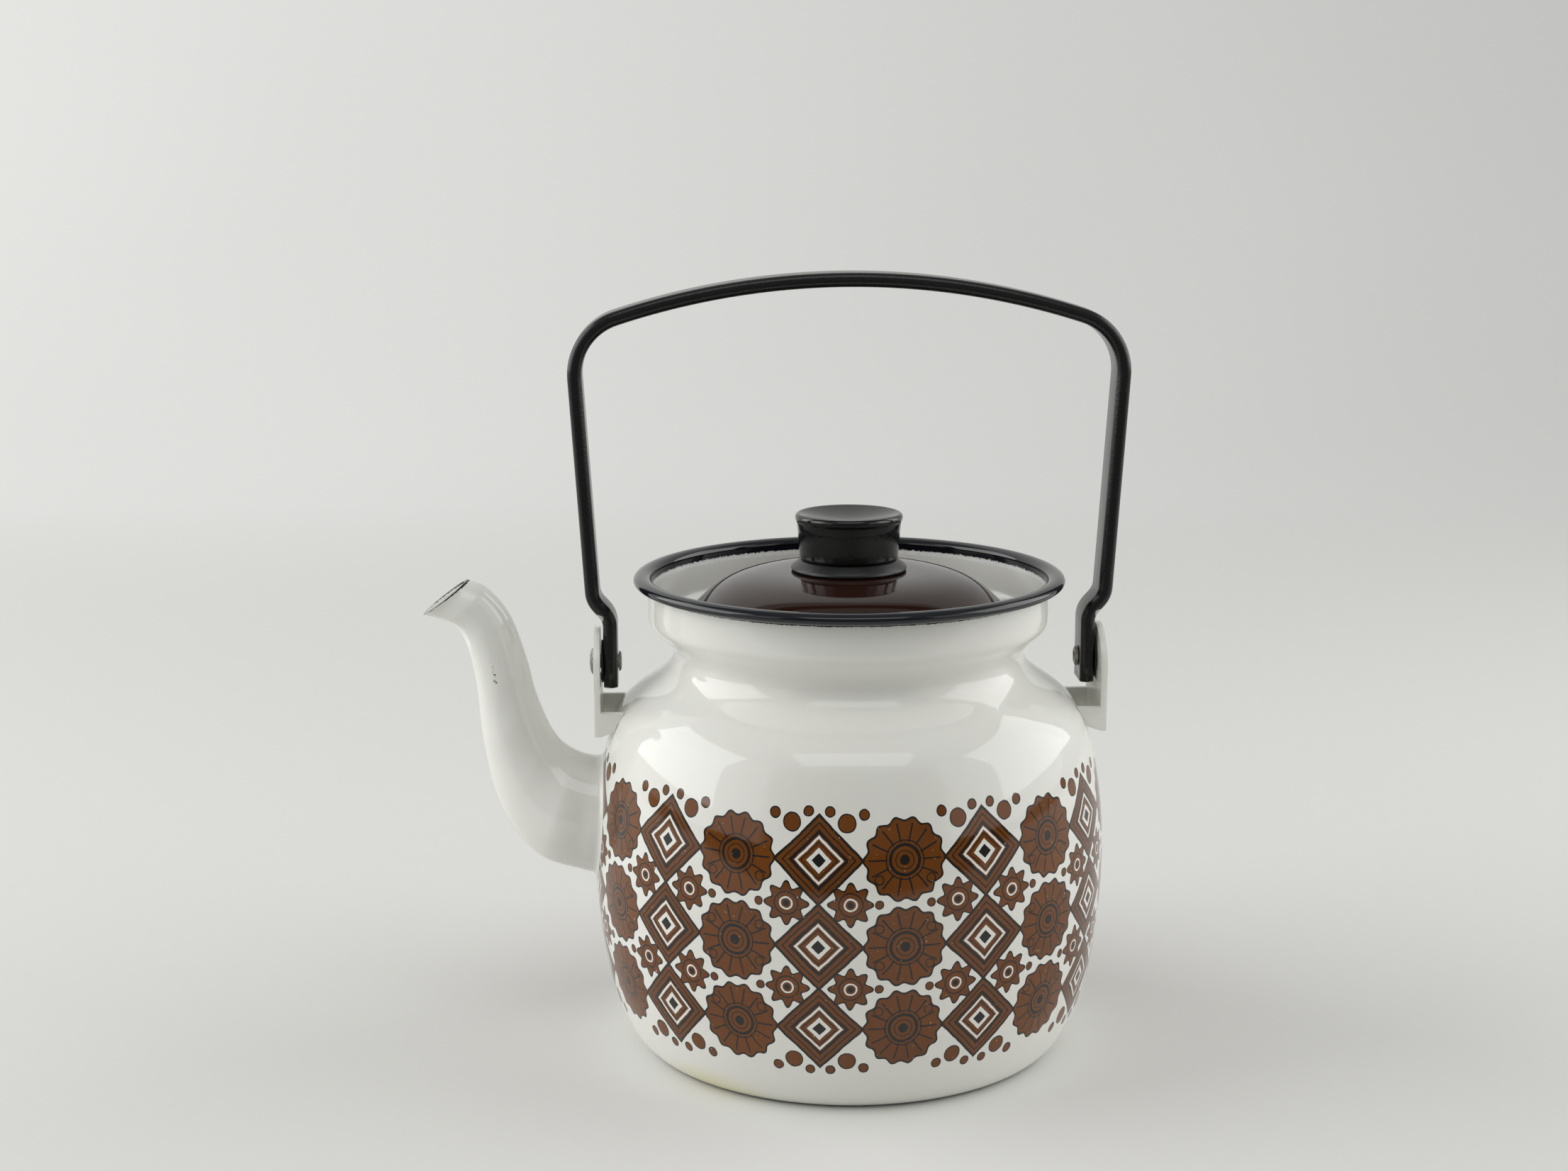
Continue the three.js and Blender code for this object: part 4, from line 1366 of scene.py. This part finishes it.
class POT_OT_lid(bpy.types.Operator):
    """Make the domed lid with its flat crown, folded edge and skirt"""

    bl_idname = "pot.lid"
    bl_label = "Lid"

    def execute(self, context):
        wall = context.scene.pot_body.wall / MILLIMETRE
        colors = context.scene.pot_finish
        finish = dark_enamel(colors, "Lid_enamel", tuple(colors.brown), (0.05, 0.03, 0.02))
        fold = (LID_RADIUS - wall, wall)
        edge = arc(fold, wall, -90.0, LID_EDGE_ANGLE, 12)
        crown = (RING_RADIUS + 0.3, LID_RISE)
        dome = [crown, *bow(crown, edge[-1], LID_BOW, 44)]
        outer_skirt = NECK[0] - wall - LID_NECK_GAP
        inner_skirt = outer_skirt - wall
        outline = [
            (LID_HOLE, LID_RISE - wall),
            *offset(dome, -wall),
            (inner_skirt, wall),
            (inner_skirt, LID_CHAMFER - LID_DROP),
            (inner_skirt + LID_CHAMFER, -LID_DROP),
            (outer_skirt - LID_CHAMFER, -LID_DROP),
            (outer_skirt, LID_CHAMFER - LID_DROP),
            (outer_skirt, 0.0),
            *edge,
            *dome[-2::-1],
            (LID_HOLE, LID_RISE),
        ]
        lift = lid_seat()
        outline = [(radius, height + lift) for radius, height in outline]
        piece = turned("lid_dome", outline, finish, 160, 32.0)
        settle(piece, "lid", finish, "brown_enamel", "lid_shell")
        return {"FINISHED"}


class POT_OT_knob(bpy.types.Operator):
    """Make the knob, its flared ring and the finishes of what holds it"""

    bl_idname = "pot.knob"
    bl_label = "Knob"

    def execute(self, context):
        colors = context.scene.pot_finish
        gloss = moulded("Knob_plastic", tuple(colors.knob_black), 0.07, 0.10)
        satin = moulded("Ring_plastic", (0.008, 0.009, 0.009), 0.28, 0.20)
        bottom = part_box("knob_skirt")[0].z / MILLIMETRE
        side = ((LID_HOLE, 0.0), *RING_SIDE, (LID_HOLE, RING_SIDE[-1][1]))
        ring = [(radius, bottom + height) for radius, height in side]
        piece = turned("knob_ring", ring, satin, 120, 40.0)
        settle(piece, "lid", satin, "satin_plastic", "knob_skirt")
        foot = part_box("knob")[0].z / MILLIMETRE
        crown = foot + KNOB_HEIGHT
        outline = [
            (0.0, foot + KNOB_BORE[1]), (KNOB_BORE[0], foot + KNOB_BORE[1]), (KNOB_BORE[0], foot),
            *((radius, foot + height) for radius, height in KNOB_FOOT),
            *((radius, crown + height) for radius, height in KNOB_SIDE),
            *arc((KNOB_EDGE[0], crown - KNOB_EDGE[1]), KNOB_EDGE[1], -25.0, 90.0, 12),
            *bow((KNOB_EDGE[0], crown), (0.0, crown - KNOB_DISH), KNOB_BOW, 26),
        ]
        piece = turned("knob_body", outline, gloss, 120, 50.0)
        settle(piece, "lid", gloss, "black_plastic", "knob")
        brass = bare_metal("Insert_brass", (0.50, 0.34, 0.12), 0.3, (0.25, 0.16, 0.06))
        steel = bare_metal("Screw_steel", (0.38, 0.37, 0.35), 0.4, (0.16, 0.13, 0.10))
        held_by = (("knob_insert", brass), ("knob_screw", steel), ("screw_washer", steel))
        for name, finish in held_by:
            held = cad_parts[name]
            held.data.materials.clear()
            held.data.materials.append(finish)
        return {"FINISHED"}


# Studio


def sweep_paper(settings):
    """Floor paper, with a pale glowing backdrop far back whose painted light runs brighter on the
    left than on the right, and unlit in front of the frame.
    """
    material, tree, shader, place = finish_of("Sweep_paper", settings.floor, 0.75)
    shader.inputs["Specular IOR Level"].default_value = 0.15
    x, y, z = axes(tree, place)
    far = ((y - 350.0) * 0.0014 + z * 0.0012).clamped()
    rays = tree.nodes.new("ShaderNodeLightPath")
    camera = Term(tree, rays.outputs["Is Camera Ray"])
    seen = camera.most(rays.outputs["Is Glossy Ray"]).most(rays.outputs["Is Transmission Ray"])
    unlit = ((y + 360.0) * -0.012).clamped() * inverse(camera)
    painted(tree, shader, mixed(tree, unlit, settings.floor, (0.16, 0.16, 0.155)))
    # Painted light: the backdrop's glow is brighter on the left and dimmer on the right, as the
    # light falls.
    bright, dim = tuple(settings.floor * 1.06), tuple(settings.floor * 0.71)
    across = (x * 0.00055 + 0.5 + (noise(tree, place, 0.0009) - 0.5) * 0.35).clamped()
    backdrop = mixed(tree, across, bright, dim)
    glow = node(tree, "ShaderNodeEmission", Color=backdrop, Strength=1.0)
    blend = node(
        tree, "ShaderNodeMixShader", _0=far * seen, _1=shader.outputs[0], _2=glow.outputs[0]
    )
    end = next(n for n in tree.nodes if n.bl_idname == "ShaderNodeOutputMaterial")
    tree.links.new(blend.outputs[0], end.inputs["Surface"])
    return material


def tent(settings):
    """Pale room of cloth, open towards the photographer, where it is dark."""
    world = bpy.data.worlds.new("Tent")
    world.use_nodes = True
    tree = world.node_tree
    tree.nodes.clear()
    x, y, z = axes(tree, tree.nodes.new("ShaderNodeTexCoord").outputs[0])
    door = ((abs(x) + y * 0.95) * -9.0).clamped() * ((z - 0.75) * -6.0).clamped()
    roof = ((z - 0.5) * 5.0).clamped()
    cloth = mixed(tree, roof, (1.02, 1.02, 1.00), (0.30, 0.30, 0.29))
    color = mixed(tree, door, cloth, (0.20, 0.20, 0.195))
    rays = tree.nodes.new("ShaderNodeLightPath")
    seen = Term(tree, rays.outputs["Is Camera Ray"]).most(rays.outputs["Is Transmission Ray"])
    color = mixed(tree, seen, color, settings.floor)
    glow = node(tree, "ShaderNodeBackground", Color=color, Strength=1.0)
    end = tree.nodes.new("ShaderNodeOutputWorld")
    tree.links.new(glow.outputs[0], end.inputs["Surface"])
    return world


class POT_OT_studio(bpy.types.Operator):
    """Make the floor, the backdrop, the light and the camera"""

    bl_idname = "pot.studio"
    bl_label = "Studio"

    def execute(self, context):
        settings = context.scene.pot_studio
        self.add_camera(context, settings)
        self.add_sweep(settings)
        self.add_light(context, settings)
        context.scene.view_settings.view_transform = "Standard"
        return {"FINISHED"}

    def add_camera(self, context, settings):
        """Stands the camera where the photograph was taken from."""
        data = bpy.data.cameras.new("Photo_camera")
        data.sensor_width = 36.0
        data.lens = settings.focal_length
        data.clip_start = 0.02
        camera = bpy.data.objects.new("Photo_camera", data)
        context.scene.collection.objects.link(camera)
        bearing = settings.turn - math.radians(CAMERA_HEADING)
        pitch, roll = math.radians(CAMERA_PITCH), math.radians(CAMERA_ROLL)
        ahead = Vector((
            math.sin(bearing) * math.cos(pitch),
            math.cos(bearing) * math.cos(pitch),
            -math.sin(pitch),
        ))
        level = ahead.cross(Vector((0.0, 0.0, 1.0))).normalized()
        upright = level.cross(ahead)
        right = level * math.cos(roll) + upright * math.sin(roll)
        up = upright * math.cos(roll) - level * math.sin(roll)
        turned_frame = Matrix((right, up, -ahead)).transposed().to_4x4()
        spot = Vector((
            -CAMERA_REACH * math.sin(settings.turn),
            -CAMERA_REACH * math.cos(settings.turn),
            CAMERA_HEIGHT,
        ))
        camera.matrix_world = Matrix.Translation(spot) @ turned_frame
        context.scene.camera = camera

    def add_sweep(self, settings):
        """Pale floor that curves up into a backdrop."""
        curve = arc((SWEEP_FLAT, SWEEP_CURVE), SWEEP_CURVE, -90.0, 0.0, 24)
        profile = [(SWEEP_FRONT, 0.0), (SWEEP_FLAT, 0.0), *curve[1:]]
        profile.append((SWEEP_FLAT + SWEEP_CURVE, SWEEP_TOP))
        points = [(x, y, z) for x in (-SWEEP_SIDE, SWEEP_SIDE) for y, z in profile]
        count = len(profile)
        faces = [(i, i + count, i + count + 1, i + 1) for i in range(count - 1)]
        mesh = bpy.data.meshes.new("sweep")
        mesh.from_pydata(points, [], faces)
        mesh.transform(Matrix.Rotation(-settings.turn, 4, "Z"))
        piece = remade("sweep", mesh)
        piece.data.materials.append(sweep_paper(settings))
        for face in piece.data.polygons:
            face.use_smooth = True

    def add_light(self, context, settings):
        """A large box on each side and a faint one over the camera, in a pale room."""
        lamps = (
            ("Left_box", (-1.20, 0.10, 0.76), (0.0, 0.05, 0.56), (1.4, 1.18), 12.2),
            ("Right_box", (1.20, 0.15, 0.76), (0.0, 0.05, 0.56), (1.4, 1.18), 9.6),
            ("Front_box", (0.0, -0.80, 1.50), (0.0, 0.0, 0.10), (1.2, 0.7), 3.9),
        )
        for name, spot, aim, size, power in lamps:
            data = bpy.data.lights.new(name, "AREA")
            data.shape = "RECTANGLE"
            data.size, data.size_y = size
            data.energy = power * settings.light
            lamp = bpy.data.objects.new(name, data)
            lamp.location = spot
            lamp.rotation_euler = (Vector(aim) - Vector(spot)).to_track_quat("-Z", "Y").to_euler()
            context.scene.collection.objects.link(lamp)
        context.scene.world = tent(settings)


PIECE_OPERATORS = (
    POT_OT_body, POT_OT_rim, POT_OT_spout, POT_OT_ears, POT_OT_pivots, POT_OT_bail,
    POT_OT_lid, POT_OT_knob, POT_OT_studio,
)


class POT_PT_panel(bpy.types.Panel):
    """Buttons for every piece of the coffee pot"""

    bl_idname = "POT_PT_panel"
    bl_label = "Enamel coffee pot"
    bl_space_type = "VIEW_3D"
    bl_region_type = "UI"
    bl_category = "Coffee pot"

    def draw(self, context):
        for operator in PIECE_OPERATORS:
            self.layout.operator(operator.bl_idname)
        for group in (
            context.scene.pot_body, context.scene.pot_bail,
            context.scene.pot_finish, context.scene.pot_studio,
        ):
            for name in group.__annotations__:
                self.layout.prop(group, name)


SETTINGS = {
    "pot_body": PotBodySettings,
    "pot_bail": PotBailSettings,
    "pot_finish": PotFinishSettings,
    "pot_studio": PotStudioSettings,
}


def register():
    """Registers the settings, the operators and the panel."""
    for name, group in SETTINGS.items():
        bpy.utils.register_class(group)
        setattr(bpy.types.Scene, name, bpy.props.PointerProperty(type=group))
    for kind in (*PIECE_OPERATORS, POT_PT_panel):
        bpy.utils.register_class(kind)


def unregister():
    """Takes everything back that register made."""
    for kind in reversed((*PIECE_OPERATORS, POT_PT_panel)):
        bpy.utils.unregister_class(kind)
    for name, group in SETTINGS.items():
        delattr(bpy.types.Scene, name)
        bpy.utils.unregister_class(group)


def main():
    """Makes every piece in order."""
    register()
    for operator in (
        bpy.ops.pot.studio, bpy.ops.pot.body, bpy.ops.pot.rim, bpy.ops.pot.spout,
        bpy.ops.pot.ears, bpy.ops.pot.pivots, bpy.ops.pot.bail, bpy.ops.pot.lid, bpy.ops.pot.knob,
    ):
        operator()


if __name__ == "__main__":
    main()
